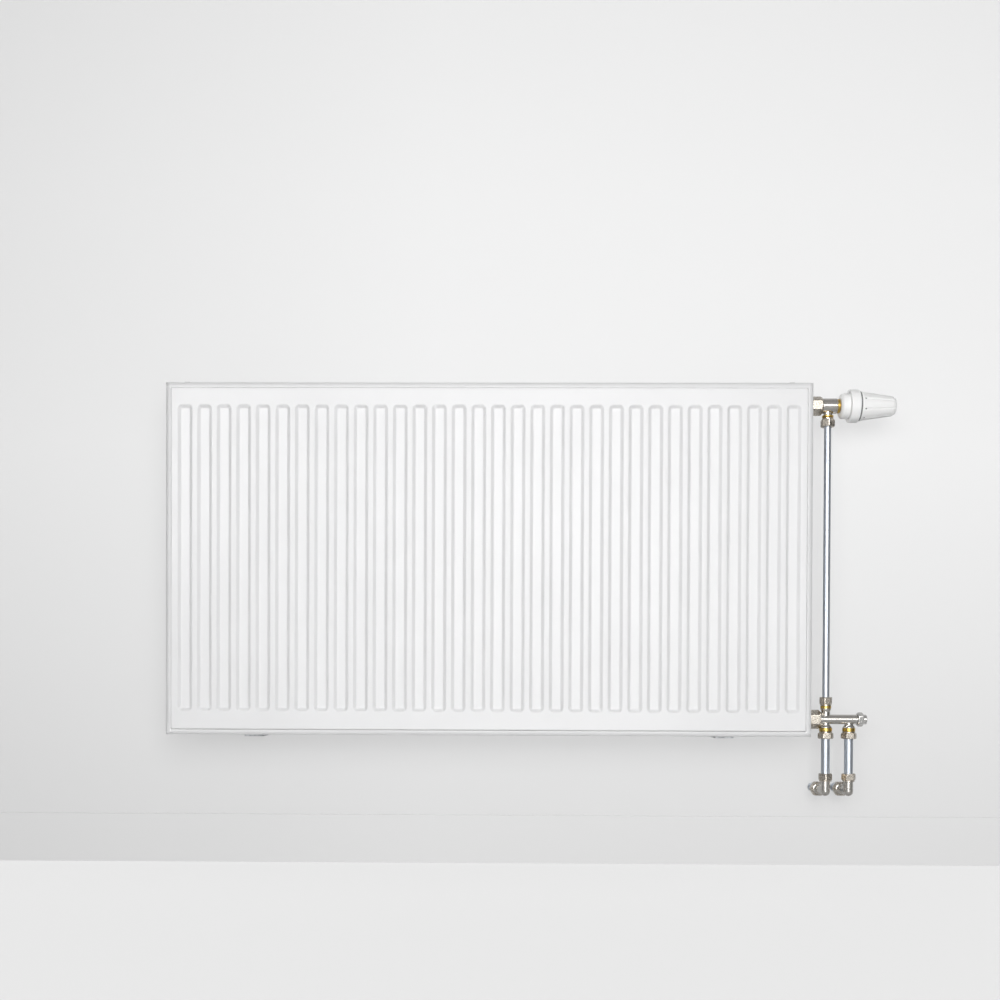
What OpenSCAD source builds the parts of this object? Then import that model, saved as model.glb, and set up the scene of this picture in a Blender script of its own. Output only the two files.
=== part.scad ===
// Panel radiator (type 22) with a coaxial thermostatic valve, a side riser and a bottom manifold.
// Frame: +X right, the front faces -Y, +Z up, the wall is the plane Y = 0.
// Origin: the middle of the four wall-screw holes, level with the middle of the radiator.

/* [Panels] */
// Number of water channels across one panel
channel_count = 33; // [29:1:41]
// Distance from one water channel to the next
channel_pitch = 33.333; // [31:0.001:36]
// Height of the radiator
panel_h = 600; // [500:10:900]
// Clear space between the wall and the rear panel
wall_gap = 35; // [33:1:50]
// Clear space between the two water panels
panel_gap = 76; // [72:1:90]
// Thickness of the pressed sheets
sheet_t = 1.25; // [1:0.05:1.5]
// How far each sheet is pressed out of the seam plane
press_depth = 6; // [5:0.25:8]
// Width of the flat seam rim round each panel
rim_w = 9.5; // [9:0.25:12]
// Width of the grooves between the water channels
groove_w = 19.5; // [12:0.5:21]
// From the top edge to the upper ends of the grooves
groove_top = 41; // [36:1:50]
// Radius of the grooves' corners
groove_corner = 5; // [3:0.5:6]
// From the bottom edge to the lower ends of the grooves
groove_bottom = 43; // [38:1:55]

/* [Convectors] */
// Depth of one set of convector fins
fin_depth = 33; // [26:1:35]
// Thickness of the fin sheet
fin_t = 0.6; // [0.4:0.05:0.8]
// Width of the flat feet and crests of the fins
fin_flat = 8; // [6:0.5:10]
// From the panel's top and bottom edge to the ends of the fins
fin_margin = 52; // [48:1:80]

/* [Connections] */
// From the top and bottom edge to the connection centres
hub_inset = 29; // [27:0.5:31]
// From the side edge to the connection tee
hub_side_inset = 25; // [24:0.5:26]
// Outside radius of the connection tees
hub_r = 13.5; // [12.5:0.25:14]
// Radius of the water way through the tees
hub_water_r = 7; // [6:0.25:7]
// Radius of the G 1/2 thread in the tees
port_r = 9.5; // [9.3:0.05:9.8]
// Depth of that thread
port_len = 14; // [12:0.5:15]

/* [Covers] */
// Thickness of the grille and the side panels
cover_t = 1.2; // [0.8:0.1:1.5]
// Height of the folded edges of the covers
cover_fold = 7; // [5:0.5:8]
// Width of the side panel's fold over the top corner
corner_w = 25; // [22:1:32]
// Length of the slots in the grille
grille_slot_l = 33; // [24:1:35]
// Width of the slots in the grille
grille_slot_w = 6.6; // [5:0.2:8]
// Radius of the side panel's holes for the connections
side_hole_r = 15; // [14:0.5:16]
// Width of the vent slots in the side panels
side_slot_w = 6; // [4:0.5:8]
// Length of the vent slots in the side panels
side_slot_l = 38; // [25:1:42]
// Size of the grille clips along the radiator
clip_w = 9; // [6:0.5:12]
// Height of the grille clips above the grille
clip_h = 2.4; // [1.5:0.1:4]

/* [Wall brackets] */
// From the middle of the radiator to each bracket
bracket_x = 416.6; // [300:0.1:440]
// From the middle of the radiator up or down to the screw holes
screw_z = 200; // [120:1:215]
// Radius of the screw holes
screw_r = 4.2; // [3.2:0.1:5]
// Width of the bracket rail
rail_w = 32; // [28:1:40]
// Depth of the bracket rail
rail_d = 28; // [24:1:30]
// Thickness of the bracket steel
rail_t = 2; // [1.5:0.1:2.5]

/* [Union joints] */
// From the panel's side edge to the union nuts
union_start = 6; // [5:0.5:9]
// Length of the union nuts
union_len = 19; // [17:0.5:22]
// Size of the union nuts across their flats
union_af = 29.5; // [29:0.5:32]
// Radius of the union thread
union_thread_r = 12; // [11.8:0.1:12.6]
// Radius of the tailpiece stem
tail_r = 9.3; // [8.8:0.1:9.4]
// Radius of the water way in the tailpiece
tail_bore_r = 6.5; // [5.8:0.1:7]

/* [Riser] */
// From the panel's side edge to the riser
riser_out = 36; // [35:0.5:44]
// Radius of the riser pipe
riser_r = 6; // [5:0.25:6.5]
// Wall of all the pipes
pipe_wall = 1; // [0.7:0.1:1.2]
// Size of the nut under the valve across its flats
valve_nut_af = 22; // [20:0.5:23]
// Length of the nut under the valve
valve_nut_len = 15; // [12:0.5:18]
// Size of the nut above the manifold across its flats
riser_nut_af = 20; // [19:0.5:22]
// Length of the nuts at the manifold
small_nut_len = 12.5; // [11:0.5:15]

/* [Valve] */
// Radius of the valve body
valve_r = 13; // [12.5:0.25:15]
// Length of the valve body after its union nut
valve_len = 26; // [25:0.5:32]
// Radius of the insert's collar
insert_r = 12; // [11.5:0.25:13]
// Radius of the valve spindle
spindle_r = 3; // [2.5:0.1:3.1]
// Opening of the valve at rest
valve_lift = 1.3; // [1.2:0.1:1.8]

/* [Thermostatic head] */
// Radius of the head's base
base_r = 21.5; // [20.5:0.5:22.5]
// Radius of the scale ring
ring_r = 28; // [27:0.5:30]
// Width of the scale ring
ring_w = 16; // [12:0.5:18]
// Radius of the knob at its rim
knob_r = 25.3; // [24.8:0.1:26]
// Radius of the knob at its far end
knob_end_r = 17; // [16.6:0.1:20]
// Length of the knob's tapered grip
grip_len = 54; // [46:1:60]
// Wall of the knob
knob_wall = 2; // [1.6:0.1:2.4]
// Number of grip grooves round the knob
grip_count = 8; // [6:1:16]
// Width of the grip grooves
grip_w = 3.4; // [2:0.2:5]
// Radius of the sensor capsule
capsule_r = 12.6; // [11:0.2:12.8]

/* [Manifold] */
// Radius of the manifold bar
bar_r = 8.2; // [8.2:0.1:10]
// Distance between the two drop pipes
drop_pitch = 40; // [40:1:60]
// Radius of the drop and stub pipes
drop_r = 7.5; // [6:0.25:8]
// Size of the drop nuts across their flats
drop_nut_af = 24; // [23.5:0.5:27]
// From the second drop pipe to the end of the bar
bar_tail = 24; // [24:0.5:30]
// Length of the manifold cap
cap_len = 16; // [14:0.5:24]
// Size of the manifold cap across its flats
cap_af = 22; // [20:0.5:26]
// Height from the elbow arms up to the manifold bar
drop_len = 124; // [90:1:200]

/* [Elbows] */
// Radius of the elbow bodies
elbow_r = 8; // [7:0.25:9]
// Size of the upright elbow nuts across their flats
elbow_nut_af = 22; // [21.5:0.5:26]
// Size of the level elbow nuts across their flats
arm_nut_af = 24; // [22:0.5:26]
// How far the elbow arms turn towards the radiator, in degrees
elbow_turn = 2; // [0:0.5:10]
// From the elbow's centre to the end of its arm
elbow_arm = 37.5; // [30:0.5:40]

/* [Hidden] */
$fn = 64;

// Shared fits
slip = 0.1;      // between two fixed pieces that fit one inside the other
run_fit = 0.05;  // between a shaft and its bore
gap = 0.3;       // between pieces that move past each other
eps = 1;         // how far a cut runs past the solid it cuts

// Radiator planes
panel_w = channel_count * channel_pitch;
half_w = panel_w / 2;
half_h = panel_h / 2;
rear_seam = -wall_gap - press_depth;
rear_inner = rear_seam - press_depth;
front_inner = rear_inner - panel_gap;
front_seam = front_inner - press_depth;
conn_y = (front_inner + rear_inner) / 2;
hub_z = half_h - hub_inset;
hub_x = half_w - hub_side_inset;
mouth_x = half_w - cover_t - gap;

// Covers sit between the seam rims
cover_front = front_seam + sheet_t + gap;
cover_rear = rear_seam - sheet_t - gap;
cover_depth = cover_rear - cover_front;
cover_mid = (cover_rear + cover_front) / 2;
grille_half = half_w - corner_w - gap;
slot_pitch = channel_pitch / 3;
slot_columns = floor((2 * grille_half - 4 * slot_pitch) / slot_pitch);
row_gap = 5;
clip_x = grille_half - 9;
clip_y = 6;
clip_d = 6;
tongue = [4, 2, 9];
vent_column = 14;
vent_pitch = side_slot_l + 18;
vent_rows = floor((2 * hub_z - 90) / vent_pitch);

// Wall brackets
pad_floor = 4;
pad_cheek = 6;
shelf_front = rear_seam - 9;
rail_low = -half_h - pad_floor - rail_t;
rail_high = half_h - 14;
latch_w = rail_w - 2 * rail_t - 2 * gap;
latch_block = 46;
latch_top = half_h - 18;
latch_t = 2;
latch_stem = 3;
latch_front = 1 - rail_d;
hook_low = half_h - 6;
hook_under = half_h + 0.5;
finger_w = 20;

// Plugs, measured outwards from the tee's mouth
plug_flange_r = side_hole_r - 2.2;
plug_thread = 11;
flange_low = 1.2;
flange_high = 5;
plug_af = 17;
plug_hex = 4;
vent_way_r = 1.5;
vent_screw_r = 3;
vent_seat = 2.4;

// Union joints, measured along X from the tee's mouth outwards
union_x = half_w + union_start;
shoulder = 4.5;
collar_len = 4;
washer_t = 1.6;
collar_x = union_x + shoulder + slip;
washer_x = collar_x + collar_len;
inlet_x = washer_x + washer_t;
body_x = union_x + union_len + 0.6;
riser_x = half_w + riser_out;

// Hexagons: corner radius, and the chamfer that rounds an end face off
chamfer_round = 1.03;
chamfer_slope = 0.55;
function hex_corner(af) = af / sqrt(3);
function hex_cut(af) = hex_corner(af) - af / 2 * chamfer_round;

// Compression joints, each measured from the end of the branch that it sits on:
// [pipe radius, nut size, nut length, collar height, gap from the collar to the nut]
olive_len = 3.5;
nut_back = 2;
nut_skirt = 2;
nut_flare = 0.6;
collar_lip = 1.1;
spigot_len = 4;
valve_joint = [riser_r, valve_nut_af, valve_nut_len, 3, 1.5];
riser_joint = [riser_r, riser_nut_af, small_nut_len + 2.5, 4.3, 0.3];
drop_joint = [drop_r, drop_nut_af, small_nut_len, 5.5, 0.5];
leg_joint = [drop_r, elbow_nut_af, small_nut_len + 1, 0, 0.3];
arm_joint = [drop_r, arm_nut_af, small_nut_len + 1.5, 0, 0.5];

// The thread lies halfway between the pipe and the nut's flats
function thread_r(joint) = (joint[0] + slip + joint[1] / 2) / 2;
function collar_r(joint) = thread_r(joint) + collar_lip;
function nut_low(joint) = joint[3] + joint[4];
function nut_high(joint) = nut_low(joint) + joint[2];
function olive_high(joint) = nut_high(joint) - nut_back;
function olive_low(joint) = olive_high(joint) - olive_len;
// Where the pipe meets the shoulder inside the joint
function pipe_stop(joint) = joint[3] + 2;

// Valve
valve_end = body_x + valve_len;
branch_r = riser_r + 1.3;
branch_end = valve_r + 3.5;
chamber_r = valve_r - 4.5;
seat_x = body_x + 1.5;
seat_t = 3;
disc_x = seat_x + seat_t + valve_lift;
disc_t = 2.5;
disc_r = chamber_r - 1.7;
holder_t = 1.5;
insert_x = valve_end - 10;
insert_collar = 3.2;
insert_thread_r = insert_r - 1;
insert_thread_len = 10;
seal_groove = 2.6;
seal_wire_r = 0.95;
spindle_end = insert_x + 10 + insert_collar + 5;

// Thermostatic head, measured along X from the start of its base
head_x = valve_end + insert_collar + 1;
base_len = 15.1;
base_round = 6;
nut_pocket_r = 15.3;
nut_pocket = 13;
barrel_r = 15.5;
barrel_bore = capsule_r + 0.5;
barrel_len = 52;
ring_x = base_len + gap;
ring_wall = 2.2;
rim_x = ring_x + ring_w + 3;
rim_w_knob = 4;
knob_x = ring_x + 12;
grip_x = rim_x + rim_w_knob;
knob_len = grip_x + grip_len;
cap_r = knob_end_r - 3;
capsule_x = 44;
capsule_len = 29;
limit_r = ring_r - 3.6;

// Manifold
bar_bore = bar_r - 2.8;
bar_end = riser_x + drop_pitch + bar_tail;
second_x = riser_x + drop_pitch;
male_r = bar_r - 1.2;
chamber_r_low = bar_bore + 1.1;
tube_r = 4.2;
tube_wall = 0.8;
tube_end = riser_x + 18;
up_port_r = 5;
down_port_r = 4;
male_len = 10;
cap_x = bar_end - male_len;
end_wall = 3;
plug_r = bar_bore - 0.08;
plug_x = second_x + down_port_r + 0.5;
plug_len = 12;
plug_front = 2;
stem_nose_r = 2.5;
stem_collar_x = bar_end - end_wall - 1.6;
stem_end = bar_end + 3.5;
key_r = 2;
drop_neck_end = bar_r + 6.8;
up_neck_end = bar_r + 10.8;

// Elbows
arm_z = -hub_z - drop_len;
leg_end = 16.2;
elbow_drop = 1;
elbow_arm_r = elbow_r - 0.2;
elbow_bore_r = drop_r - pipe_wall - 0.5;
stub_len = -conn_y / cos(elbow_turn) - 0.8;

// ---------- helpers ----------

// A child drawn along +Z, laid along +X from x at height z on the connection plane
module conn_axis(x, z) translate([x, conn_y, z]) rotate([0, 90, 0]) children();

// A child drawn once, and again mirrored in X
module both_sides() {
    children();
    mirror([1, 0, 0]) children();
}

// A ring of revolution about +Z between two heights
module ring(outer_r, inner_r, low, high) {
    translate([0, 0, low]) difference() {
        cylinder(r = outer_r, h = high - low);
        translate([0, 0, -eps]) cylinder(r = inner_r, h = high - low + 2 * eps);
    }
}

// A round bore about +Z between two heights
module bore(r, low, high) translate([0, 0, low]) cylinder(r = r, h = high - low);

// A hexagon bar about +Z with both ends chamfered to their round
module hex_bar(af, low, high) {
    corner = hex_corner(af);
    cut = hex_cut(af);
    intersection() {
        translate([0, 0, low]) cylinder(r = corner, h = high - low, $fn = 6);
        rotate_extrude() polygon([
            [0, low], [corner - cut, low], [corner, low + cut * chamfer_slope],
            [corner, high - cut * chamfer_slope], [corner - cut, high], [0, high]]);
    }
}

// A hexagon nut about +Z with a round skirt at its lower end
module skirted_hex(af, low, high, skirt_r) {
    corner = hex_corner(af);
    cut = hex_cut(af);
    hex_low = low + nut_skirt + nut_flare * (corner - skirt_r);
    intersection() {
        translate([0, 0, low]) cylinder(r = corner, h = high - low, $fn = 6);
        rotate_extrude() polygon([
            [0, low], [skirt_r, low], [skirt_r, low + nut_skirt], [corner, hex_low],
            [corner, high - cut * chamfer_slope], [corner - cut, high], [0, high]]);
    }
}

// A wire wound about +Z as a helix with closed ends
module helix(coil_r, wire_r, turns, length) {
    steps = turns * 16;
    sides = 8;
    rise = (length - 2 * wire_r) / steps;
    points = [for (i = [0:steps], j = [0:sides - 1])
        let (a = i * 22.5, b = j * 360 / sides, r = coil_r + wire_r * cos(b))
        [r * cos(a), r * sin(a), wire_r + i * rise + wire_r * sin(b)]];
    walls = [for (i = [0:steps - 1], j = [0:sides - 1])
        let (p = i * sides, k = (j + 1) % sides)
        [p + j, p + sides + j, p + sides + k, p + k]];
    start_cap = [[for (j = [0:sides - 1]) j]];
    end_cap = [[for (j = [sides - 1:-1:0]) steps * sides + j]];
    polyhedron(points, concat(walls, start_cap, end_cap), convexity = 6);
}

// A tube of the given outer radius about +Z between two heights
module pipe(r, low, high) ring(r, r - pipe_wall, low, high);

// ---------- water panels ----------

// The grooves between the water channels, as slots with round ends
module grooves(width) {
    grow = (width - groove_w) / 2;
    r = groove_corner + grow;
    half = width / 2;
    low = -half_h + groove_bottom - grow;
    high = half_h - groove_top + grow;
    for (i = [1:channel_count - 1])
        translate([(i - channel_count / 2) * channel_pitch, 0]) {
            translate([-half, low + r]) square([width, high - low - 2 * r]);
            translate([r - half, low]) square([width - 2 * r, high - low]);
            for (x = [r - half, half - r], y = [low + r, high - r]) translate([x, y]) circle(r = r);
        }
}

// One pressed sheet: a flat rim in the seam plane, with the headers and channels pressed out
// along +Z and the grooves left in the seam plane
module pressed_sheet(ports) {
    difference() {
        union() {
            linear_extrude(sheet_t) square([panel_w, panel_h], center = true);
            linear_extrude(press_depth) difference() {
                square([panel_w - 2 * rim_w, panel_h - 2 * rim_w], center = true);
                grooves(groove_w);
            }
        }
        translate([0, 0, -eps]) linear_extrude(press_depth - sheet_t + eps) difference() {
            square([panel_w - 2 * rim_w - 2 * sheet_t, panel_h - 2 * rim_w - 2 * sheet_t], center = true);
            grooves(groove_w + 2 * sheet_t);
        }
        if (ports)
            for (x = [-hub_x, hub_x], z = [-hub_z, hub_z])
                translate([x, z, -eps]) cylinder(r = hub_water_r, h = press_depth + 2 * eps);
    }
}

module facing_front(y) translate([0, y, 0]) rotate([90, 0, 0]) children();
module facing_back(y) translate([0, y, 0]) mirror([0, 1, 0]) rotate([90, 0, 0]) children();

module front_outer_sheet() color("white") facing_front(front_seam) pressed_sheet(false);
module front_inner_sheet() color("white") facing_back(front_seam) pressed_sheet(true);
module rear_inner_sheet() color("white") facing_front(rear_seam) pressed_sheet(true);
module rear_outer_sheet() color("white") facing_back(rear_seam) pressed_sheet(false);

// ---------- convector fins ----------

fin_side = atan2(fin_depth - fin_t, channel_pitch / 2 - fin_flat);
fin_lean = fin_t * tan(fin_side / 2);
first_foot = -(channel_count - 3) / 2;

// Corners of one fin period; lift is 0 for the lower face of the sheet and 1 for the upper
function fin_period(i, lift) =
    let (x = (first_foot + i) * channel_pitch, lean = lift * fin_lean, f = fin_flat / 2,
         low = lift * fin_t, high = fin_depth - fin_t + lift * fin_t)
    [[x - f + lean, low], [x + f - lean, low],
     [x + channel_pitch / 2 - f - lean, high], [x + channel_pitch / 2 + f + lean, high]];

// All corners of one face; the last foot has no crest after it
function fin_face(lift) =
    let (n = channel_count - 2, all = [for (i = [0:n - 1], p = fin_period(i, lift)) p])
    [for (k = [0:len(all) - 3]) all[k]];

function reversed(list) = [for (k = [len(list) - 1:-1:0]) list[k]];

module fins() {
    height = panel_h - 2 * fin_margin;
    translate([0, 0, -height / 2]) linear_extrude(height)
        polygon(concat(fin_face(0), reversed(fin_face(1))));
}

module front_convector() color("gainsboro") translate([0, front_inner, 0]) fins();
module rear_convector() color("gainsboro") translate([0, rear_inner, 0]) mirror([0, 1, 0]) fins();

// ---------- connection tees ----------

// A tee between the two water panels with its threaded mouth towards +X
module hub() {
    reach = mouth_x - hub_x;
    difference() {
        union() {
            rotate([90, 0, 0]) cylinder(r = hub_r, h = panel_gap, center = true);
            rotate([0, 90, 0]) cylinder(r = hub_r, h = reach);
        }
        rotate([90, 0, 0]) cylinder(r = hub_water_r, h = panel_gap + 2 * eps, center = true);
        rotate([0, 90, 0]) bore(hub_water_r, 0, reach);
        rotate([0, 90, 0]) bore(port_r, reach - port_len, reach + eps);
    }
}

module place_hub(side, level) translate([side * hub_x, conn_y, level * hub_z])
    mirror([side < 0 ? 1 : 0, 0, 0]) hub();

module hub_top_left() color("white") place_hub(-1, 1);
module hub_top_right() color("white") place_hub(1, 1);
module hub_bottom_left() color("white") place_hub(-1, -1);
module hub_bottom_right() color("white") place_hub(1, -1);

// ---------- covers ----------

// Folded edges along both long sides of a cover that lies in the XY plane and folds down
module fold_strips(x0, x1) {
    for (y = [cover_front, cover_rear - cover_t])
        translate([x0, y, -cover_fold - cover_t]) cube([x1 - x0, cover_t, cover_fold + cover_t]);
}

// The pattern of slots across the grille, two rows deep
module grille_slots() {
    for (i = [0:slot_columns], row = [-1, 1])
        translate([(i - slot_columns / 2) * slot_pitch, row * (grille_slot_l + row_gap) / 2])
            square([grille_slot_w, grille_slot_l], center = true);
}

module clip_slots() {
    for (x = [-clip_x, clip_x], y = [cover_front + clip_y, cover_rear - clip_y])
        translate([x, y]) square([tongue[0] + 2 * slip, tongue[1] + 2 * slip], center = true);
}

module top_grille() {
    notch = rear_seam - sheet_t - latch_t - 3 * gap;
    color("white") translate([0, 0, half_h]) difference() {
        union() {
            translate([0, 0, -cover_t]) linear_extrude(cover_t) difference() {
                translate([-grille_half, cover_front]) square([2 * grille_half, cover_depth]);
                translate([0, cover_mid]) grille_slots();
                clip_slots();
            }
            fold_strips(-grille_half, grille_half);
        }
        both_sides() translate([bracket_x - finger_w / 2 - 1, notch, -cover_fold - 2 * cover_t])
            cube([finger_w + 2, 20, cover_fold + 4 * cover_t]);
    }
}

module grille_clips() {
    color("white") for (x = [-clip_x, clip_x], y = [cover_front + clip_y, cover_rear - clip_y])
        translate([x, y, half_h]) {
            translate([-clip_w / 2, -clip_d / 2, 0]) cube([clip_w, clip_d, clip_h]);
            translate([-tongue[0] / 2, -tongue[1] / 2, -tongue[2]])
                cube([tongue[0], tongue[1], tongue[2] + clip_h / 2]);
        }
}

// Right side panel: a slotted plate with folded edges and a fold over the top corner
module side_panel() {
    translate([half_w - cover_t, cover_front, -half_h]) side_plate();
    for (y = [cover_front, cover_rear - cover_t])
        translate([half_w - cover_t - cover_fold, y, -half_h])
            cube([cover_fold + cover_t, cover_t, panel_h]);
    translate([half_w - corner_w, cover_front, half_h - cover_t])
        cube([corner_w, cover_depth, cover_t]);
}

// The upright plate of the side panel, drawn flat as (depth, height) and stood up
module side_plate() {
    rotate([90, 0, 90]) linear_extrude(cover_t) difference() {
        square([cover_depth, panel_h]);
        for (z = [-hub_z, hub_z]) translate([cover_depth / 2, half_h + z]) circle(r = side_hole_r);
        for (i = [0:vent_rows - 1], side = [-1, 1]) {
            level = half_h + (i - (vent_rows - 1) / 2) * vent_pitch;
            translate([cover_depth / 2 + side * vent_column, level]) vent_slot();
        }
    }
}

module vent_slot() {
    straight = side_slot_l - side_slot_w;
    square([side_slot_w, straight], center = true);
    for (y = [-straight / 2, straight / 2]) translate([0, y]) circle(r = side_slot_w / 2);
}

module right_side_panel() color("white") side_panel();
module left_side_panel() color("white") mirror([1, 0, 0]) side_panel();

// ---------- wall brackets ----------

// A channel-shaped rail against the wall with a shelf under the rear panel
module bracket() {
    height = rail_high - rail_low;
    translate([bracket_x, 0, 0]) difference() {
        translate([-rail_w / 2, 0, rail_low]) union() {
            translate([0, -rail_t, 0]) cube([rail_w, rail_t, height]);
            for (x = [0, rail_w - rail_t]) translate([x, -rail_d, 0]) cube([rail_t, rail_d, height]);
            translate([0, shelf_front - rail_t, 0]) cube([rail_w, rail_t - shelf_front, rail_t]);
            translate([0, shelf_front - rail_t, 0])
                cube([rail_w, rail_t, rail_t + pad_floor + pad_cheek / 2]);
        }
        for (z = [-screw_z, screw_z])
            translate([0, eps, z]) rotate([90, 0, 0]) cylinder(r = screw_r, h = rail_t + 2 * eps);
    }
}

module right_wall_bracket() color("white") bracket();
module left_wall_bracket() color("white") mirror([1, 0, 0]) bracket();

// A support pad on the shelf, grooved for the seam rim of the rear panel
module pad() {
    back = -wall_gap - 0.5;
    w = rail_w - 4;
    groove = 2 * sheet_t + 2 * gap;
    translate([bracket_x - w / 2, 0, -half_h - pad_floor]) difference() {
        translate([0, shelf_front, 0]) cube([w, back - shelf_front, pad_floor + pad_cheek]);
        translate([-eps, rear_seam - groove / 2, pad_floor]) cube([w + 2 * eps, groove, pad_cheek + eps]);
    }
}

module bracket_pads() color("whitesmoke") both_sides() pad();

// A latch that slides in the rail and hooks over the rim of the rear panel
module latch() {
    hook_back = rear_seam - sheet_t - gap - latch_t;
    latch_back = -rail_t - gap;
    hook_top = hook_under + latch_t;
    translate([bracket_x, 0, 0]) {
        translate([-latch_w / 2, latch_front, latch_top - latch_block])
            cube([latch_w, latch_back - latch_front, latch_block]);
        translate([-finger_w / 2, latch_front, latch_top - 2])
            cube([finger_w, latch_stem, hook_top - latch_top + 2]);
        translate([-finger_w / 2, hook_back, hook_under])
            cube([finger_w, latch_front + latch_stem - hook_back, latch_t]);
        translate([-finger_w / 2, hook_back, hook_low])
            cube([finger_w, latch_t, hook_top - hook_low]);
    }
}

module right_bracket_latch() color("whitesmoke") latch();
module left_bracket_latch() color("whitesmoke") mirror([1, 0, 0]) latch();

// ---------- plugs on the left side ----------

// A child drawn along +Z with z = 0 at the mouth of a left-hand tee, laid along -X
module left_mouth(z) translate([-mouth_x, conn_y, z]) rotate([0, -90, 0]) children();

// A plug's shank, flange and hexagon
module plug_solid() {
    bore(port_r - slip, -plug_thread, flange_high);
    bore(plug_flange_r, flange_low, flange_high);
    hex_bar(plug_af, flange_high - 0.5, flange_high + plug_hex);
}

module vent_plug() {
    outlet = vent_seat + 1.2;
    color("silver") left_mouth(hub_z) difference() {
        plug_solid();
        bore(vent_way_r, -plug_thread - eps, flange_high);
        bore(vent_screw_r + run_fit, vent_seat, flange_high + plug_hex + eps);
        translate([0, 0, outlet]) rotate([0, -90, 0]) cylinder(r = 1, h = plug_flange_r + eps);
    }
}

// The vent's needle, thread and square end
module vent_screw() {
    needle = 2.4;
    start = vent_seat + 0.2;
    square_w = 5;
    square_l = 3;
    color("gold") left_mouth(hub_z) {
        translate([0, 0, start]) cylinder(r1 = 0.8, r2 = 2.4, h = needle);
        bore(vent_screw_r, start + needle, flange_high + plug_hex + 1);
        translate([-square_w / 2, -square_w / 2, flange_high + plug_hex + 0.5])
            cube([square_w, square_w, square_l]);
    }
}

module blank_plug() color("silver") left_mouth(-hub_z) plug_solid();

module plug_seals() {
    color("dimgray") for (z = [-hub_z, hub_z])
        left_mouth(z) ring(plug_flange_r - 0.6, port_r + slip, 0, flange_low);
}

// ---------- union joints ----------

// The tailpiece: screwed into the tee, with a collar that the union nut pulls on
module tailpiece(z) {
    conn_axis(0, z) difference() {
        union() {
            bore(port_r - slip, mouth_x - port_len + 1, mouth_x);
            bore(tail_r, mouth_x - 1, washer_x);
            bore(union_thread_r - 0.3, collar_x, washer_x);
        }
        bore(tail_bore_r, mouth_x - port_len - eps, washer_x + eps);
    }
}

module union_nut(z) {
    conn_axis(0, z) difference() {
        hex_bar(union_af, union_x, union_x + union_len);
        bore(tail_r + slip, union_x - eps, union_x + shoulder + eps);
        bore(union_thread_r + slip, union_x + shoulder, union_x + union_len + eps);
    }
}

module tailpieces() color("silver") for (z = [-hub_z, hub_z]) tailpiece(z);
module union_nuts() color("silver") for (z = [-hub_z, hub_z]) union_nut(z);
module union_washers() color("dimgray") for (z = [-hub_z, hub_z])
    conn_axis(0, z) ring(union_thread_r - 0.4, tail_bore_r + slip, washer_x, inlet_x);

// ---------- compression joints, drawn along +Z from the branch end at z = 0 ----------

// A brass adapter: spigot in the branch, collar, then the thread that takes the nut
module adapter(joint) {
    pipe_r = joint[0];
    difference() {
        union() {
            bore(pipe_r - 0.4, -spigot_len, 0.5);
            bore(collar_r(joint), 0, joint[3]);
            bore(thread_r(joint), joint[3] - 0.5, olive_low(joint));
        }
        bore(pipe_r - pipe_wall, -spigot_len - eps, pipe_stop(joint) + eps);
        bore(pipe_r + slip, pipe_stop(joint), olive_low(joint) + eps);
    }
}

// The socket that an adapter's spigot fills
module adapter_socket(pipe_r) bore(pipe_r - 0.4 + slip, -spigot_len - 2 * slip, eps);

module compression_nut(joint) {
    low = nut_low(joint);
    high = nut_high(joint);
    difference() {
        skirted_hex(joint[1], low, high, collar_r(joint));
        bore(joint[0] + slip, low - eps, high + eps);
        bore(thread_r(joint) + slip, low - eps, high - nut_back);
    }
}

// A clamping ring with both shoulders chamfered
module olive(joint) {
    low = olive_low(joint);
    high = olive_high(joint);
    inner = joint[0] + run_fit;
    outer = thread_r(joint) - gap;
    slant = 0.8;
    rotate_extrude() polygon([
        [inner, low], [outer - slant, low], [outer, low + slant],
        [outer, high - slant], [outer - slant, high], [inner, high]]);
}

// Places of the joints; each child is drawn along +Z from the branch end
module riser_top() translate([riser_x, conn_y, hub_z - branch_end]) rotate([180, 0, 0]) children();
module riser_bottom() translate([riser_x, conn_y, -hub_z + up_neck_end]) children();
module drop_tops() for (x = [riser_x, second_x])
    translate([x, conn_y, -hub_z - drop_neck_end]) rotate([180, 0, 0]) children();

module riser_adapters() color("goldenrod") {
    riser_top() adapter(valve_joint);
    riser_bottom() adapter(riser_joint);
}

module riser_nuts() color("silver") {
    riser_top() compression_nut(valve_joint);
    riser_bottom() compression_nut(riser_joint);
}

module riser_pipe() {
    low = -hub_z + up_neck_end + pipe_stop(riser_joint);
    high = hub_z - branch_end - pipe_stop(valve_joint);
    color("lightslategray") translate([riser_x, conn_y, 0]) pipe(riser_r, low, high);
}

// ---------- valve ----------

module valve_body() {
    color("silver") difference() {
        union() {
            conn_axis(0, hub_z) {
                bore(union_thread_r, inlet_x, body_x + 0.5);
                bore(valve_r, body_x, valve_end);
            }
            translate([riser_x, conn_y, hub_z - branch_end]) cylinder(r = branch_r, h = branch_end);
        }
        conn_axis(0, hub_z) {
            bore(tail_bore_r, inlet_x - eps, seat_x);
            bore(chamber_r / 2 + 0.2, seat_x - eps, seat_x + seat_t + eps);
            bore(chamber_r, seat_x + seat_t, valve_end + eps);
        }
        translate([riser_x, conn_y, hub_z]) {
            translate([0, 0, -branch_end]) cylinder(r = riser_r - pipe_wall, h = branch_end - 4);
            translate([0, 0, -branch_end]) rotate([180, 0, 0]) adapter_socket(riser_r);
        }
    }
}

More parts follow.
